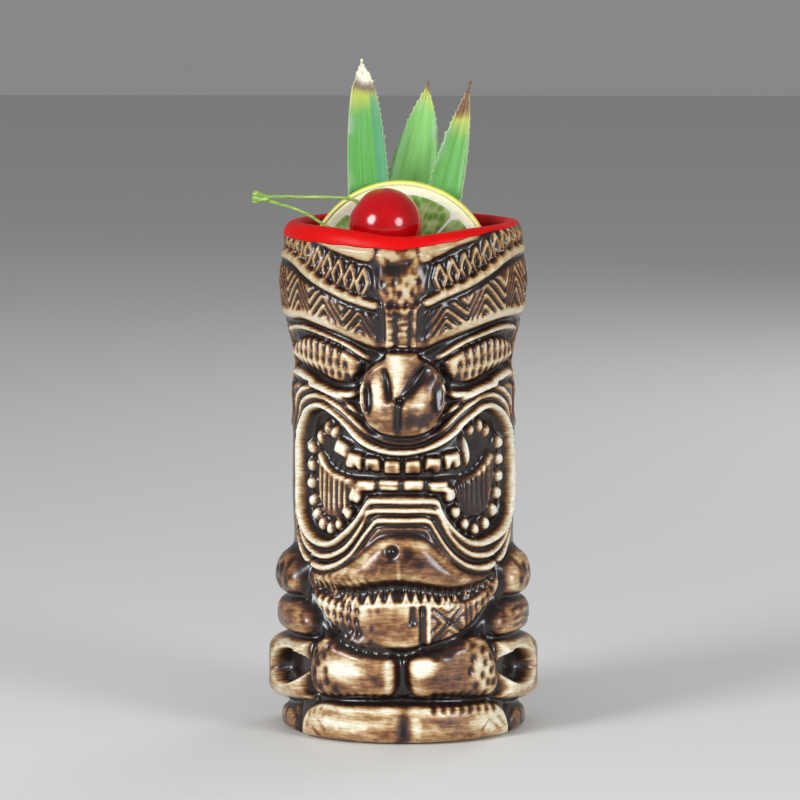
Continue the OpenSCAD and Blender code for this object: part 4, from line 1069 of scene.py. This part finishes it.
def leaf_skin(name, dry, cream, painted_lift):
    """Pineapple leaf: tough, waxy and channelled, with fine long veins, a grey bloom near its edges,
    yellow where the tip begins to dry, and a dead tip in straw or brown."""
    colours = bpy.context.scene.tiki_colours
    material, tree, shader, place = surface(name, IOR=1.42, Roughness=0.38, Coat_Weight=0.15,
        Coat_Roughness=0.3, Subsurface_Weight=0.08, Subsurface_Scale=0.002)
    shader.inputs["Subsurface Radius"].default_value = (0.4, 1.0, 0.2)
    across, from_tip, rim = (attribute(tree, n) for n in ("across", "from_tip", "rim"))
    # veins run the whole length, about 0.7 mm apart
    lines = add(tree, "ShaderNodeCombineXYZ", None, {"X": math_node(tree, "MULTIPLY", across, 11.0),
        "Y": math_node(tree, "MULTIPLY", from_tip, 0.02)}).outputs[0]
    veins = noise(tree, lines, 1.0, 4.0, 0.7)
    cloud = noise(tree, place, 130.0, 4.0)
    # painted light: the leaf's lift moves the ramp's stops down, so a leaf that sits in shade is painted
    # lighter
    green = ramp(tree, veins, [(0.30 - painted_lift, colours.leaf_dark), (0.52 - painted_lift, colours.leaf),
        (0.72 - painted_lift, colours.leaf_light)]).outputs[0]
    bloom = math_node(tree, "MULTIPLY", ramp(tree, cloud, [(0.42, 0.0), (0.66, 0.8)]).outputs[0],
        ramp(tree, rim, [(0.0, 0.9), (0.4, 0.15), (1.0, 0.0)]).outputs[0])
    green = mix_colour(tree, bloom, green, linear("#9DB69B"))
    # the distance from the tip, made uneven, so that the bands of dry colour are ragged
    dryness = math_node(tree, "MULTIPLY_ADD", math_node(tree, "SUBTRACT", cloud, 0.5), 10.0, from_tip)
    dryness = math_node(tree, "MULTIPLY_ADD", math_node(tree, "SUBTRACT", veins, 0.5), 12.0, dryness)
    yellow = remap(tree, dryness, (dry + 0.5, dry + 7), (0.8, 0.0))
    colour = mix_colour(tree, yellow, green, linear("#C9C44A"))
    brown = remap(tree, dryness, (dry - 1.0, dry + 1.4), (1.0, 0.0))
    colour = mix_colour(tree, brown, colour, linear("#6E5A50" if cream else "#7A5436"))
    if cream:
        fold = ramp(tree, math_node(tree, "MULTIPLY", across, 0.15), [(0.66, 0.0), (0.69, 0.75)]).outputs[0]
        colour = mix_colour(tree, math_node(tree, "MULTIPLY", fold,
            ramp(tree, brown, [(0.0, 1.0), (0.3, 0.0)]).outputs[0]), colour, linear("#4F9470"))
        pale = remap(tree, dryness, (dry - 4.2, dry - 2.2), (1.0, 0.0))
        colour = mix_colour(tree, pale, colour, linear("#E4DFC6"))
    spine = ramp(tree, rim, [(0.0, 0.35), (0.014, 0.0)]).outputs[0]
    colour = mix_colour(tree, spine, colour, linear("#D9DDB0"))
    tree.links.new(colour, shader.inputs["Base Color"])
    bump = add(tree, "ShaderNodeBump", {"Strength": 0.5, "Distance": 0.0002}, {"Height": veins})
    tree.links.new(bump.outputs[0], shader.inputs["Normal"])
    return material


def build_leaf(which, spine):
    """One leaf: a narrow sheet bent to a channel, with spines along its edges and a torn dead tip."""
    kind = LEAVES[which]
    lo, hi = (np.array(v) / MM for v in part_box(kind["node"]))
    joint = next(j for j in frame["joints"] if j["child"] == kind["body"])
    axis = np.array(joint["axis"], float)
    axis /= np.linalg.norm(axis)
    length = (hi[2] - lo[2]) / axis[2] - 0.6
    foot_half = kind["half"] * kind["foot"] * 0.98
    y = (lo[1] + hi[1]) / 2 + 0.85
    foot = np.array([lo[0] + foot_half + 0.2 if axis[0] > 0 else hi[0] - foot_half - 0.2, y, lo[2] + 0.7])
    bm = bmesh.new()
    bmesh.ops.create_grid(bm, x_segments=16, y_segments=330, size=1.0)
    mesh = mesh_from(bm, which + "_leaf_sheet")
    co = points_of(mesh)
    t, s = co[:, 0], (co[:, 1] + 1) / 2
    s = s**0.75  # rows lie closer towards the tip
    run = length * s
    from_tip = length - run
    rng = np.random.default_rng(kind["seed"])
    narrowing = 1 - np.exp(-(((from_tip + 0.4) / kind["taper"]) ** kind["power"]))
    w = kind["half"] * narrowing * (kind["foot"] + (1 - kind["foot"]) * np.minimum(1, s / 0.55))
    w *= 1 + kind["wide"] * soft(s, 0.42, 0.62)
    w += kind["blunt"] * soft(from_tip, 0.5, 5) * (1 - soft(from_tip, 6, 22))
    w = np.maximum(w - 0.25, 0.2) * (0.5 + 0.5 * soft(from_tip, -0.1, 2.4))
    # spines lean towards the tip, about 3 mm apart and closer near it
    row = np.unique(np.round(run, 5), return_inverse=True)[1].ravel()
    jitter = grit(run, run * 0 + 30 + 20 * (t > 0), kind["seed"], (7, 9, 0.7))
    phase = np.mod(run / 2.1 + 1.4 * jitter + 0.37 * (t > 0), 1.0)
    tooth = 1.3 * spine * phase**3.6 * np.where(phase > 0.97, 0.3, 1.0) * soft(from_tip, 0.5, 6)
    tooth = tooth * np.where(t > 0, kind["right"], kind["left"])
    torn = rng.uniform(0.0, 1.0, (row.max() + 1, 2))[row, (t > 0).astype(int)]
    torn = torn * (0.3 + 0.5 * kind["cream"]) * np.clip((kind["dry"] - from_tip) / kind["dry"], 0, 1)
    edge_only = soft(np.abs(t), 0.86, 1.0)
    x = t * (w - np.minimum(torn, 0.4 * w)) + np.sign(t) * edge_only * tooth
    channel = -1.5 * (w / kind["half"]) * np.abs(t) ** 1.5 + 0.18 * np.minimum(1, w / 4.0) * np.cos(t * 9)
    side = np.array([axis[2], 0, -axis[0]])
    at = foot[None, :] + run[:, None] * axis[None, :] + x[:, None] * side[None, :]
    at[:, 1] += channel
    set_points(mesh, at * MM)
    store(mesh, "across", (t + 1.3) * 2.6)
    store(mesh, "from_tip", from_tip)
    store(mesh, "rim", np.clip((1 - np.abs(t)) * w / 7.0 + 0.3 * (1 - soft(from_tip, 1, 4)), 0, 1))
    bm = bmesh.new()
    bm.from_mesh(mesh)
    bmesh.ops.recalc_face_normals(bm, faces=bm.faces)
    bmesh.ops.solidify(bm, geom=bm.faces[:], thickness=0.0007)
    bmesh.ops.recalc_face_normals(bm, faces=bm.faces)
    bm.to_mesh(mesh)
    bm.free()
    skin = leaf_skin("pineapple_leaf_" + which, kind["dry"], kind["cream"], kind["painted_lift"])
    finish_piece("leaf_" + which, mesh, skin, kind["node"], kind["body"])


# ---------------------------------------------------------------- lemon wheel
def lemon_rind():
    """Lemon zest: thin waxy yellow skin with oil glands as pits about 0.8 mm apart."""
    colours = bpy.context.scene.tiki_colours
    material, tree, shader, place = surface("lemon_zest", IOR=1.45, Roughness=0.36, Coat_Weight=0.3,
        Coat_Roughness=0.2, Subsurface_Weight=0.1, Subsurface_Scale=0.001)
    glands = add(tree, "ShaderNodeTexVoronoi", {"Scale": 900.0, "feature": "F1"},
        {"Vector": place}).outputs["Distance"]
    cloud = noise(tree, place, 180.0, 2.0)
    skin = mix_colour(tree, cloud, linear("#EEDF4E"), linear(colours.zest))
    cut = ramp(tree, attribute(tree, "reach"), [(0.962, 1.0), (0.994, 0.15)]).outputs[0]
    tree.links.new(mix_colour(tree, cut, skin, linear("#F7F4BC")), shader.inputs["Base Color"])
    bump = add(tree, "ShaderNodeBump", {"Strength": 0.6, "Distance": 0.0003, "invert": True},
        {"Height": glands})
    tree.links.new(bump.outputs[0], shader.inputs["Normal"])
    return material


def lemon_pith():
    """Lemon pith: dry, spongy and off-white, a little yellow towards the zest."""
    material, tree, shader, place = surface("lemon_pith", IOR=1.4, Roughness=0.7, Subsurface_Weight=0.25,
        Subsurface_Scale=0.002)
    sponge = noise(tree, place, 1200.0, 5.0, 0.7)
    far = attribute(tree, "reach")
    base = ramp(tree, far, [(0.0, "#EEF2C8"), (0.55, "#FBFDE8"), (0.86, "#FFFFF8"), (0.94, "#FDFCE0"),
        (1.0, "#F9F6BE")]).outputs[0]
    tree.links.new(mix_colour(tree, ramp(tree, sponge, [(0.35, 0.35), (0.6, 0.0)]).outputs[0], base,
        linear("#CFCB9C")), shader.inputs["Base Color"])
    bump = add(tree, "ShaderNodeBump", {"Strength": 0.5, "Distance": 0.0002}, {"Height": sponge})
    tree.links.new(bump.outputs[0], shader.inputs["Normal"])
    return material


def lemon_flesh():
    """Lemon flesh: juice sacs like wet grains of rice, 1 to 2 mm wide, pointing at the core."""
    material, tree, shader, place = surface("lemon_flesh", IOR=1.36, Roughness=0.25, Coat_Weight=0.2,
        Coat_Roughness=0.08, Subsurface_Weight=0.35, Subsurface_Scale=0.003, Transmission_Weight=0.15)
    shader.inputs["Subsurface Radius"].default_value = (1.0, 1.0, 0.3)
    turn, out = attribute(tree, "turn"), attribute(tree, "reach")
    polar = add(tree, "ShaderNodeCombineXYZ", None, {"X": math_node(tree, "MULTIPLY", turn, 4.4),
        "Y": math_node(tree, "MULTIPLY", out, 10.0)}).outputs[0]
    sacs = add(tree, "ShaderNodeTexVoronoi", {"Scale": 1.0, "feature": "SMOOTH_F1", "Smoothness": 0.4},
        {"Vector": polar}).outputs["Distance"]
    cloud = noise(tree, place, 260.0, 3.0)
    cells = ramp(tree, sacs, [(0.1, "#73A03E"), (0.42, "#98BF5E"), (0.72, "#D6E9A4")]).outputs[0]
    tree.links.new(mix_colour(tree, math_node(tree, "MULTIPLY", cloud, 0.7), cells, linear("#5C8A36")),
        shader.inputs["Base Color"])
    bump = add(tree, "ShaderNodeBump", {"Strength": 0.8, "Distance": 0.0006, "invert": True},
        {"Height": sacs})
    tree.links.new(bump.outputs[0], shader.inputs["Normal"])
    return material


def polar_marks(mesh, centre, radius):
    """Stores how far out each point is, as a share of the radius, and its turn round the wheel."""
    co = points_of(mesh) / MM
    dx, dz = co[:, 0] - centre[0], co[:, 2] - centre[2]
    turn = np.arctan2(dz, dx)
    turn[turn < math.radians(-152)] += 2 * math.pi  # the seam falls on the skin between two wedges
    store(mesh, "reach", np.hypot(dx, dz) / radius)
    store(mesh, "turn", turn * 3.0)


def build_lemon(skin_gap):
    """The wheel: a rind band, a pith disc that sinks between the skins, and nine plump wedges."""
    lo, hi = (np.array(v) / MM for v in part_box("lemon_rind"))
    centre, big, thick = (lo + hi) / 2, (hi[0] - lo[0]) / 2, hi[1] - lo[1]
    place = Matrix.Translation(Vector(centre) * MM) @ Matrix.Rotation(math.pi / 2, 4, "X")
    # rind: a band with a rounded, pitted outside
    t = thick / 2
    band = [(big - 1.3, -t), (big - 0.5, -t), (big - 0.12, -t + 0.25), (big, -t + 0.8), (big, t - 0.8),
        (big - 0.12, t - 0.25), (big - 0.5, t), (big - 1.3, t), (big - 1.3, -t)]
    bm = bmesh.new()
    verts = [bm.verts.new((r * MM, 0, z * MM)) for r, z in band[:-1]]
    edges = [bm.edges.new((verts[i], verts[(i + 1) % len(verts)])) for i in range(len(verts))]
    bmesh.ops.spin(bm, geom=verts + edges, cent=(0, 0, 0), axis=(0, 0, 1), angle=2 * math.pi, steps=180,
        use_merge=True)
    bmesh.ops.transform(bm, matrix=place, verts=bm.verts)
    bmesh.ops.recalc_face_normals(bm, faces=bm.faces)
    mesh = mesh_from(bm, "lemon_rind")
    polar_marks(mesh, centre, big)
    finish_piece("lemon_zest_ring", mesh, lemon_rind(), "lemon_rind", "lemon_wheel")
    # pith: a disc whose faces sink between the skins
    bm = bmesh.new()
    bmesh.ops.create_circle(bm, cap_ends=True, cap_tris=False, segments=180, radius=(big - 1.31) * MM,
        matrix=Matrix.Translation((0, 0, -t * MM)))
    made = bmesh.ops.extrude_face_region(bm, geom=bm.faces[:])
    bmesh.ops.translate(bm, vec=(0, 0, thick * MM),
        verts=[v for v in made["geom"] if isinstance(v, bmesh.types.BMVert)])
    for inset in (0.9, 1.0, 1.2, 2.2, 3.0, 4.0, 5.0, 5.0):
        caps = [f for f in bm.faces if len(f.verts) > 100]
        bmesh.ops.inset_region(bm, faces=caps, thickness=inset * MM, use_even_offset=True)
    bmesh.ops.transform(bm, matrix=place, verts=bm.verts)
    bmesh.ops.recalc_face_normals(bm, faces=bm.faces)
    mesh = mesh_from(bm, "lemon_pith")
    co = points_of(mesh) / MM
    reach = np.hypot(co[:, 0] - centre[0], co[:, 2] - centre[2])
    face = np.sign(co[:, 1] - centre[1])
    sink = 0.45 * (1 - soft(reach, big - 5.2, big - 3.4)) - 0.25 * soft(reach, big - 4.2,
        big - 2.8) * (1 - soft(reach, big - 2.2, big - 1.4))
    co[:, 1] -= face * np.maximum(sink, 0.0)
    set_points(mesh, co * MM)
    polar_marks(mesh, centre, big - 1.31)
    finish_piece("lemon_white_pith", mesh, lemon_pith(), "lemon_pith", "lemon_wheel")
    # flesh: nine plump wedges that stand a little proud of their skins
    count, flesh = 9, big - 3.9
    bm = bmesh.new()
    for i in range(count):
        a0 = math.radians(i * 360 / count + 8)
        a1 = a0 + 2 * math.pi / count
        inner, corner = 3.0, 1.8
        half = lambda r: math.asin(min(0.9, skin_gap / r))
        outline = [(inner, (a0 + a1) / 2), (inner + 1.5, a0 + half(inner + 1.5)), (12, a0 + half(12)),
            (flesh - corner, a0 + half(flesh - corner))]
        outline += [(flesh - 0.25 * (k in (0, 6)),
            a0 + half(flesh) + 0.05 + (a1 - a0 - 2 * half(flesh) - 0.1) * k / 6) for k in range(7)]
        outline += [(flesh - corner, a1 - half(flesh - corner)), (12, a1 - half(12)),
            (inner + 1.5, a1 - half(inner + 1.5))]
        ring = [bm.verts.new((r * math.cos(a) * MM, r * math.sin(a) * MM, -(t - 0.2) * MM))
            for r, a in outline]
        bottom = bm.faces.new(ring)
        made = bmesh.ops.extrude_face_region(bm, geom=[bottom])
        bmesh.ops.translate(bm, vec=(0, 0, (thick - 0.4) * MM),
            verts=[v for v in made["geom"] if isinstance(v, bmesh.types.BMVert)])
    for inset, lift in ((0.35, 0.12), (0.4, 0.07)):
        caps = [f for f in bm.faces if len(f.verts) > 5]
        bmesh.ops.inset_region(bm, faces=caps, thickness=inset * MM, depth=0.0, use_even_offset=True)
        caps = [f for f in bm.faces if len(f.verts) > 5]
        for f in caps:
            step = lift * MM * (1 if f.calc_center_median().z > 0 else -1)
            bmesh.ops.translate(bm, vec=(0, 0, step), verts=f.verts[:])
    bmesh.ops.triangulate(bm, faces=[f for f in bm.faces if len(f.verts) > 5])
    bmesh.ops.transform(bm, matrix=place, verts=bm.verts)
    bmesh.ops.recalc_face_normals(bm, faces=bm.faces)
    mesh = mesh_from(bm, "lemon_flesh")
    polar_marks(mesh, centre, flesh)
    finish_piece("lemon_flesh_wedges", mesh, lemon_flesh(), "lemon_segments", "lemon_wheel")


# ---------------------------------------------------------------- cherries
def cherry_skin():
    """Fresh cherry: deep red, tight, wet-looking skin with faint freckles and darker flesh under it."""
    colours = bpy.context.scene.tiki_colours
    material, tree, shader, place = surface("cherry_skin", IOR=1.42, Roughness=0.18, Specular_IOR_Level=0.3,
        Coat_Weight=0.55, Coat_Roughness=0.13, Subsurface_Weight=0.2, Subsurface_Scale=0.002)
    shader.inputs["Subsurface Radius"].default_value = (1.0, 0.1, 0.08)
    cloud = noise(tree, place, 110.0, 4.0)
    spots = add(tree, "ShaderNodeTexVoronoi", {"Scale": 700.0, "feature": "F1"},
        {"Vector": place}).outputs["Distance"]
    base = mix_colour(tree, ramp(tree, cloud, [(0.3, 0.0), (0.7, 1.0)]).outputs[0], linear(colours.cherry),
        linear("#B80810"))
    tree.links.new(mix_colour(tree, ramp(tree, spots, [(0.0, 0.45), (0.14, 0.0)]).outputs[0], base,
        linear("#5A0206")), shader.inputs["Base Color"])
    return material


def stem_skin():
    """Cherry stem: fresh yellow-green, smooth, with fine long ribs."""
    colours = bpy.context.scene.tiki_colours
    material, tree, shader, place = surface("cherry_stem", IOR=1.45, Roughness=0.42, Subsurface_Weight=0.1,
        Subsurface_Scale=0.001)
    ribs_at = add(tree, "ShaderNodeMapping", {"Scale": (300, 2400, 2400)}, {"Vector": place}).outputs[0]
    ribs = noise(tree, ribs_at, 1.0, 3.0)
    tree.links.new(ramp(tree, ribs, [(0.3, "#5E7A2A"), (0.52, colours.stem), (0.72, "#B4C97C")]).outputs[0],
        shader.inputs["Base Color"])
    bump = add(tree, "ShaderNodeBump", {"Strength": 0.5, "Distance": 0.0002}, {"Height": ribs})
    tree.links.new(bump.outputs[0], shader.inputs["Normal"])
    return material


def shared(name, make):
    """The material of that name, made the first time it is asked for."""
    return bpy.data.materials.get(name) or make()


def build_cherry(node, tilt):
    """A fruit with a pit for its stem, which leans over by tilt degrees."""
    lo, hi = (np.array(v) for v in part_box(node))
    centre, radius = (lo + hi) / 2, float((hi - lo).max()) / 2
    bm = bmesh.new()
    bmesh.ops.create_uvsphere(bm, u_segments=96, v_segments=64, radius=radius)
    for v in bm.verts:
        n = v.co.normalized()
        pit = math.exp(-((math.acos(max(-1, min(1, n.z))) / 0.20) ** 2))
        base = math.exp(-((math.acos(max(-1, min(1, -n.z))) / 0.22) ** 2))
        seam = math.exp(-((math.atan2(n.x, -n.y) / 0.10) ** 2)) * max(0, 1 - n.z * n.z)
        v.co *= 1 - 0.11 * pit - 0.02 * base - 0.004 * seam
    bmesh.ops.transform(bm, matrix=Matrix.Translation(centre)
        @ Matrix.Rotation(-math.radians(tilt), 4, "Y"), verts=bm.verts)
    bmesh.ops.recalc_face_normals(bm, faces=bm.faces)
    mesh = mesh_from(bm, node)
    finish_piece(node + "_fruit", mesh, shared("cherry_skin", cherry_skin), node, "cherry_pair")
    return centre, radius


def build_stem(node, points, thick):
    """A stem as a round tube that swells at both ends, made a closed mesh."""
    path = smooth([tuple(p[::2]) for p in points], gap=0.9)
    ys = np.interp(np.linspace(0, 1, len(path)), np.linspace(0, 1, len(points)), [p[1] for p in points])
    curve = bpy.data.curves.new(node + "_line", "CURVE")
    curve.dimensions, curve.use_fill_caps = "3D", True
    curve.bevel_depth, curve.bevel_resolution = thick / 2 * MM, 4
    spline = curve.splines.new("POLY")
    spline.points.add(len(path) - 1)
    for i, ((x, z), y) in enumerate(zip(path, ys)):
        s = i / (len(path) - 1)
        spline.points[i].co = (x * MM, y * MM, z * MM, 1)
        foot = 0.35 * math.exp(-((s / 0.06) ** 2))
        top = 0.4 * math.exp(-(((1 - s) / 0.07) ** 2))
        spline.points[i].radius = 0.86 + foot + top + 0.04 * math.sin(17 * s)
    holder = bpy.data.objects.new(node + "_line", curve)
    bpy.context.scene.collection.objects.link(holder)
    mesh = bpy.data.meshes.new_from_object(holder.evaluated_get(bpy.context.evaluated_depsgraph_get()))
    bpy.data.objects.remove(holder)
    bm = bmesh.new()
    bm.from_mesh(mesh)
    bmesh.ops.remove_doubles(bm, verts=bm.verts, dist=1e-6)
    bmesh.ops.recalc_face_normals(bm, faces=bm.faces)
    bm.to_mesh(mesh)
    bm.free()
    mesh.materials.clear()
    finish_piece(node + "_stalk", mesh, shared("cherry_stem", stem_skin), node, "cherry_pair")


def build_knob():
    """The woody knob that joins the stems: a lumpy button, turned and then laid on its side."""
    lo, hi = (np.array(v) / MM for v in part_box("stem_knob"))
    centre, length = (lo + hi) / 2, hi[0] - lo[0]
    outline = [(0.01, -0.5), (0.5, -0.49), (0.58, -0.3), (0.62, -0.1), (0.8, 0.08), (1.0, 0.25),
        (0.98, 0.36), (0.8, 0.44), (0.45, 0.49), (0.2, 0.46), (0.01, 0.44)]
    bm = bmesh.new()
    verts = [bm.verts.new((r * 2.0 * MM, 0, z * length * MM)) for r, z in outline]
    edges = [bm.edges.new(pair) for pair in zip(verts[:-1], verts[1:])]
    bmesh.ops.spin(bm, geom=verts + edges, cent=(0, 0, 0), axis=(0, 0, 1), angle=2 * math.pi, steps=40,
        use_merge=True)
    bmesh.ops.remove_doubles(bm, verts=[v for v in bm.verts if math.hypot(v.co.x, v.co.y) < 2e-5],
        dist=3e-5)
    for v in bm.verts:
        a = math.atan2(v.co.y, v.co.x)
        lump = 1 + 0.10 * math.sin(3 * a + 1) + 0.07 * math.sin(7 * a) * (1 if v.co.z > 0 else 0.3)
        v.co.x *= lump
        v.co.y *= lump
    laid = Matrix.Translation(Vector(centre) * MM) @ Matrix.Rotation(-math.radians(84), 4, "Y")
    bmesh.ops.transform(bm, matrix=laid, verts=bm.verts)
    bmesh.ops.recalc_face_normals(bm, faces=bm.faces)
    mesh = mesh_from(bm, "stem_knob")
    finish_piece("stem_joint_knob", mesh, shared("cherry_stem", stem_skin), "stem_knob", "cherry_pair")


# ---------------------------------------------------------------- stage
def build_stage(distance, elevation, azimuth):
    """A pale floor, four soft lights and a long lens."""
    scene = bpy.context.scene
    bm = bmesh.new()
    bmesh.ops.create_grid(bm, x_segments=1, y_segments=1, size=3.0)
    floor = bpy.data.objects.new("floor", mesh_from(bm, "floor"))
    scene.collection.objects.link(floor)
    material, _, shader, _ = surface("pale_floor", Roughness=0.6)
    shader.inputs["Base Color"].default_value = linear("#DCDAD6")
    floor.data.materials.append(material)
    world = bpy.data.worlds.new("studio")
    world.use_nodes = True
    sky = world.node_tree.nodes["Background"]
    sky.inputs["Color"].default_value = linear("#E8E9EC")
    sky.inputs["Strength"].default_value = 0.30
    scene.world = world
    scene.view_settings.view_transform = "Standard"
    target = Vector((-0.0011, 0, 0.10415))
    for name, place, size, power in (
        ("key", (-0.82, -0.82, 0.53), (0.5, 0.5), 12.5),
        ("fill", (0.84, -0.83, 0.40), (0.5, 0.5), 8.5),
        ("top", (0.0, -0.2, 1.4), (0.9, 0.9), 3.5),
        ("back", (0.6, 0.9, 0.6), (0.6, 0.6), 4),
    ):
        light = bpy.data.lights.new(name, "AREA")
        light.shape, light.size, light.size_y, light.energy = "ELLIPSE", size[0], size[1], power
        lamp = bpy.data.objects.new(name, light)
        lamp.location = place
        lamp.rotation_euler = (target - lamp.location).to_track_quat("-Z", "Y").to_euler()
        lamp.visible_glossy = name in ("key", "fill")
        light.color = (0.93, 0.96, 1.0)
        scene.collection.objects.link(lamp)
    e, a = math.radians(elevation), math.radians(azimuth)
    back = Vector((math.sin(a) * math.cos(e), -math.cos(a) * math.cos(e), math.sin(e)))
    camera = bpy.data.cameras.new("camera")
    camera.lens, camera.sensor_width, camera.clip_end = 247.6, 36.0, 20.0
    eye = bpy.data.objects.new("camera", camera)
    eye.location = target + back * distance
    eye.rotation_euler = (target - eye.location).to_track_quat("-Z", "Y").to_euler()
    scene.collection.objects.link(eye)
    scene.camera = eye


# ---------------------------------------------------------------- add-on
class TikiSizes(bpy.types.PropertyGroup):
    depth: bpy.props.FloatProperty(name="Carving depth",
        description="Depth of the carving as a share of the full depth", default=1.0, min=0.2, max=1.2,
        subtype="FACTOR")
    skin: bpy.props.FloatProperty(name="Glaze skin",
        description="Thickness of the red glaze over the lip, in mm", default=0.35, min=0.1, max=0.7)
    spine: bpy.props.FloatProperty(name="Leaf spines",
        description="How far the spines stand out of a leaf's edge, in mm", default=0.7, min=0.2, max=2.0)
    membrane: bpy.props.FloatProperty(name="Lemon skin",
        description="Half the thickness of the skin between two lemon segments, in mm", default=0.45,
        min=0.2, max=1.0)
    stem: bpy.props.FloatProperty(name="Stem", description="Thickness of a cherry stem, in mm",
        default=1.15, min=0.6, max=2.0)
    distance: bpy.props.FloatProperty(name="Camera distance",
        description="From the camera to the middle of the object", default=1.75, min=0.5, max=5.0,
        unit="LENGTH")
    elevation: bpy.props.FloatProperty(name="Camera height", description="Degrees above level", default=7.0,
        min=-10, max=80)
    azimuth: bpy.props.FloatProperty(name="Camera turn", description="Degrees round to the right",
        default=1.0, min=-180, max=180)


class TikiColours(bpy.types.PropertyGroup):
    ivory: bpy.props.StringProperty(name="Ivory", description="Wiped high places", default="#EAE6D8")
    cream: bpy.props.StringProperty(name="Cream", description="Broad pale places", default="#D6C5A0")
    amber: bpy.props.StringProperty(name="Amber", description="Slopes with thin stain", default="#A98253")
    brown: bpy.props.StringProperty(name="Brown", description="Stain in shallow hollows", default="#7A4E2C")
    dark: bpy.props.StringProperty(name="Dark brown", description="Stain in deep hollows",
        default="#3A1F13")
    black: bpy.props.StringProperty(name="Black brown", description="Stain in the deepest lines",
        default="#1A0F0C")
    red: bpy.props.StringProperty(name="Red", description="Glaze of the lip and the hollow",
        default="#D40907")
    leaf: bpy.props.StringProperty(name="Leaf green", description="Middle of a leaf", default="#56A043")
    leaf_dark: bpy.props.StringProperty(name="Dark leaf green", description="Veins", default="#3C8A38")
    leaf_light: bpy.props.StringProperty(name="Light leaf green", description="Between the veins",
        default="#86C468")
    zest: bpy.props.StringProperty(name="Zest", description="Lemon skin", default="#F6E648")
    cherry: bpy.props.StringProperty(name="Cherry", description="Cherry skin", default="#A20006")
    stem: bpy.props.StringProperty(name="Stem green", description="Cherry stems", default="#8CAE50")


class TIKI_OT_stage(bpy.types.Operator):
    """Sets the pale floor, the soft lights and the camera"""

    bl_idname = "tiki.stage"
    bl_label = "Stage"

    def execute(self, context):
        s = context.scene.tiki_sizes
        build_stage(s.distance, s.elevation, s.azimuth)
        return {"FINISHED"}


class TIKI_OT_clay_body(bpy.types.Operator):
    """Turns and carves the clay body and stains it"""

    bl_idname = "tiki.clay_body"
    bl_label = "Clay body"

    def execute(self, context):
        build_clay_body(context.scene.tiki_sizes.depth)
        return {"FINISHED"}


class TIKI_OT_red_glaze(bpy.types.Operator):
    """Lays the red glaze in the hollow and over the lip"""

    bl_idname = "tiki.red_glaze"
    bl_label = "Red glaze"

    def execute(self, context):
        build_red_glaze(context.scene.tiki_sizes.skin)
        return {"FINISHED"}


class TIKI_OT_leaves(bpy.types.Operator):
    """Grows the three pineapple leaves"""

    bl_idname = "tiki.leaves"
    bl_label = "Pineapple leaves"

    def execute(self, context):
        for which in LEAVES:
            build_leaf(which, context.scene.tiki_sizes.spine)
        return {"FINISHED"}


class TIKI_OT_lemon(bpy.types.Operator):
    """Cuts the lemon wheel: rind, pith and flesh"""

    bl_idname = "tiki.lemon"
    bl_label = "Lemon wheel"

    def execute(self, context):
        build_lemon(context.scene.tiki_sizes.membrane)
        return {"FINISHED"}


class TIKI_OT_cherries(bpy.types.Operator):
    """Makes the two cherries, their stems and the knob that joins them"""

    bl_idname = "tiki.cherries"
    bl_label = "Cherries"

    def execute(self, context):
        thick = context.scene.tiki_sizes.stem
        knob = sum(np.array(v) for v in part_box("stem_knob")) / 2 / MM
        near, far = knob + np.array([0.8, 0, 0.35]), knob + np.array([0.8, 0, -0.35])
        for node, tilt in (("cherry_front", 52), ("cherry_rear", 28)):
            centre, radius = build_cherry(node, tilt)
            centre, radius = centre / MM, radius / MM
            a = math.radians(tilt)
            pit = centre + (radius - 1.3) * np.array([-math.sin(a), 0, math.cos(a)])
            out = pit + 2.4 * np.array([-math.sin(a), 0, math.cos(a)])
            y = centre[1]
            if node == "cherry_front":
                line = [pit, out, (-20, y, 170.3), (-31.8, y, 170.5), near]
            else:
                line = [pit, out, (-22.1, y * 0.6 + knob[1] * 0.4, 159.8), (-26, knob[1], 162.6),
                    (-29.6, knob[1], 164.9), (-34, knob[1], 166.8), far]
            build_stem(node.replace("cherry", "cherry_stem"), line, thick)
        build_knob()
        return {"FINISHED"}


OPERATORS = (TIKI_OT_stage, TIKI_OT_clay_body, TIKI_OT_red_glaze, TIKI_OT_leaves, TIKI_OT_lemon,
    TIKI_OT_cherries)


class TIKI_PT_panel(bpy.types.Panel):
    """Lists the tiki mug's sizes, colours and pieces"""

    bl_idname = "TIKI_PT_panel"
    bl_label = "Tiki mug"
    bl_space_type = "VIEW_3D"
    bl_region_type = "UI"
    bl_category = "Tiki"

    def draw(self, context):
        for group in (context.scene.tiki_sizes, context.scene.tiki_colours):
            for name in group.__annotations__:
                self.layout.prop(group, name)
        for operator in OPERATORS:
            self.layout.operator(operator.bl_idname)


CLASSES = (TikiSizes, TikiColours) + OPERATORS + (TIKI_PT_panel,)


def register():
    for cls in CLASSES:
        bpy.utils.register_class(cls)
    bpy.types.Scene.tiki_sizes = bpy.props.PointerProperty(type=TikiSizes)
    bpy.types.Scene.tiki_colours = bpy.props.PointerProperty(type=TikiColours)


def unregister():
    del bpy.types.Scene.tiki_colours
    del bpy.types.Scene.tiki_sizes
    for cls in reversed(CLASSES):
        bpy.utils.unregister_class(cls)


def main():
    register()
    for operator in OPERATORS:
        group, name = operator.bl_idname.split(".")
        getattr(getattr(bpy.ops, group), name)()


if __name__ == "__main__":
    main()
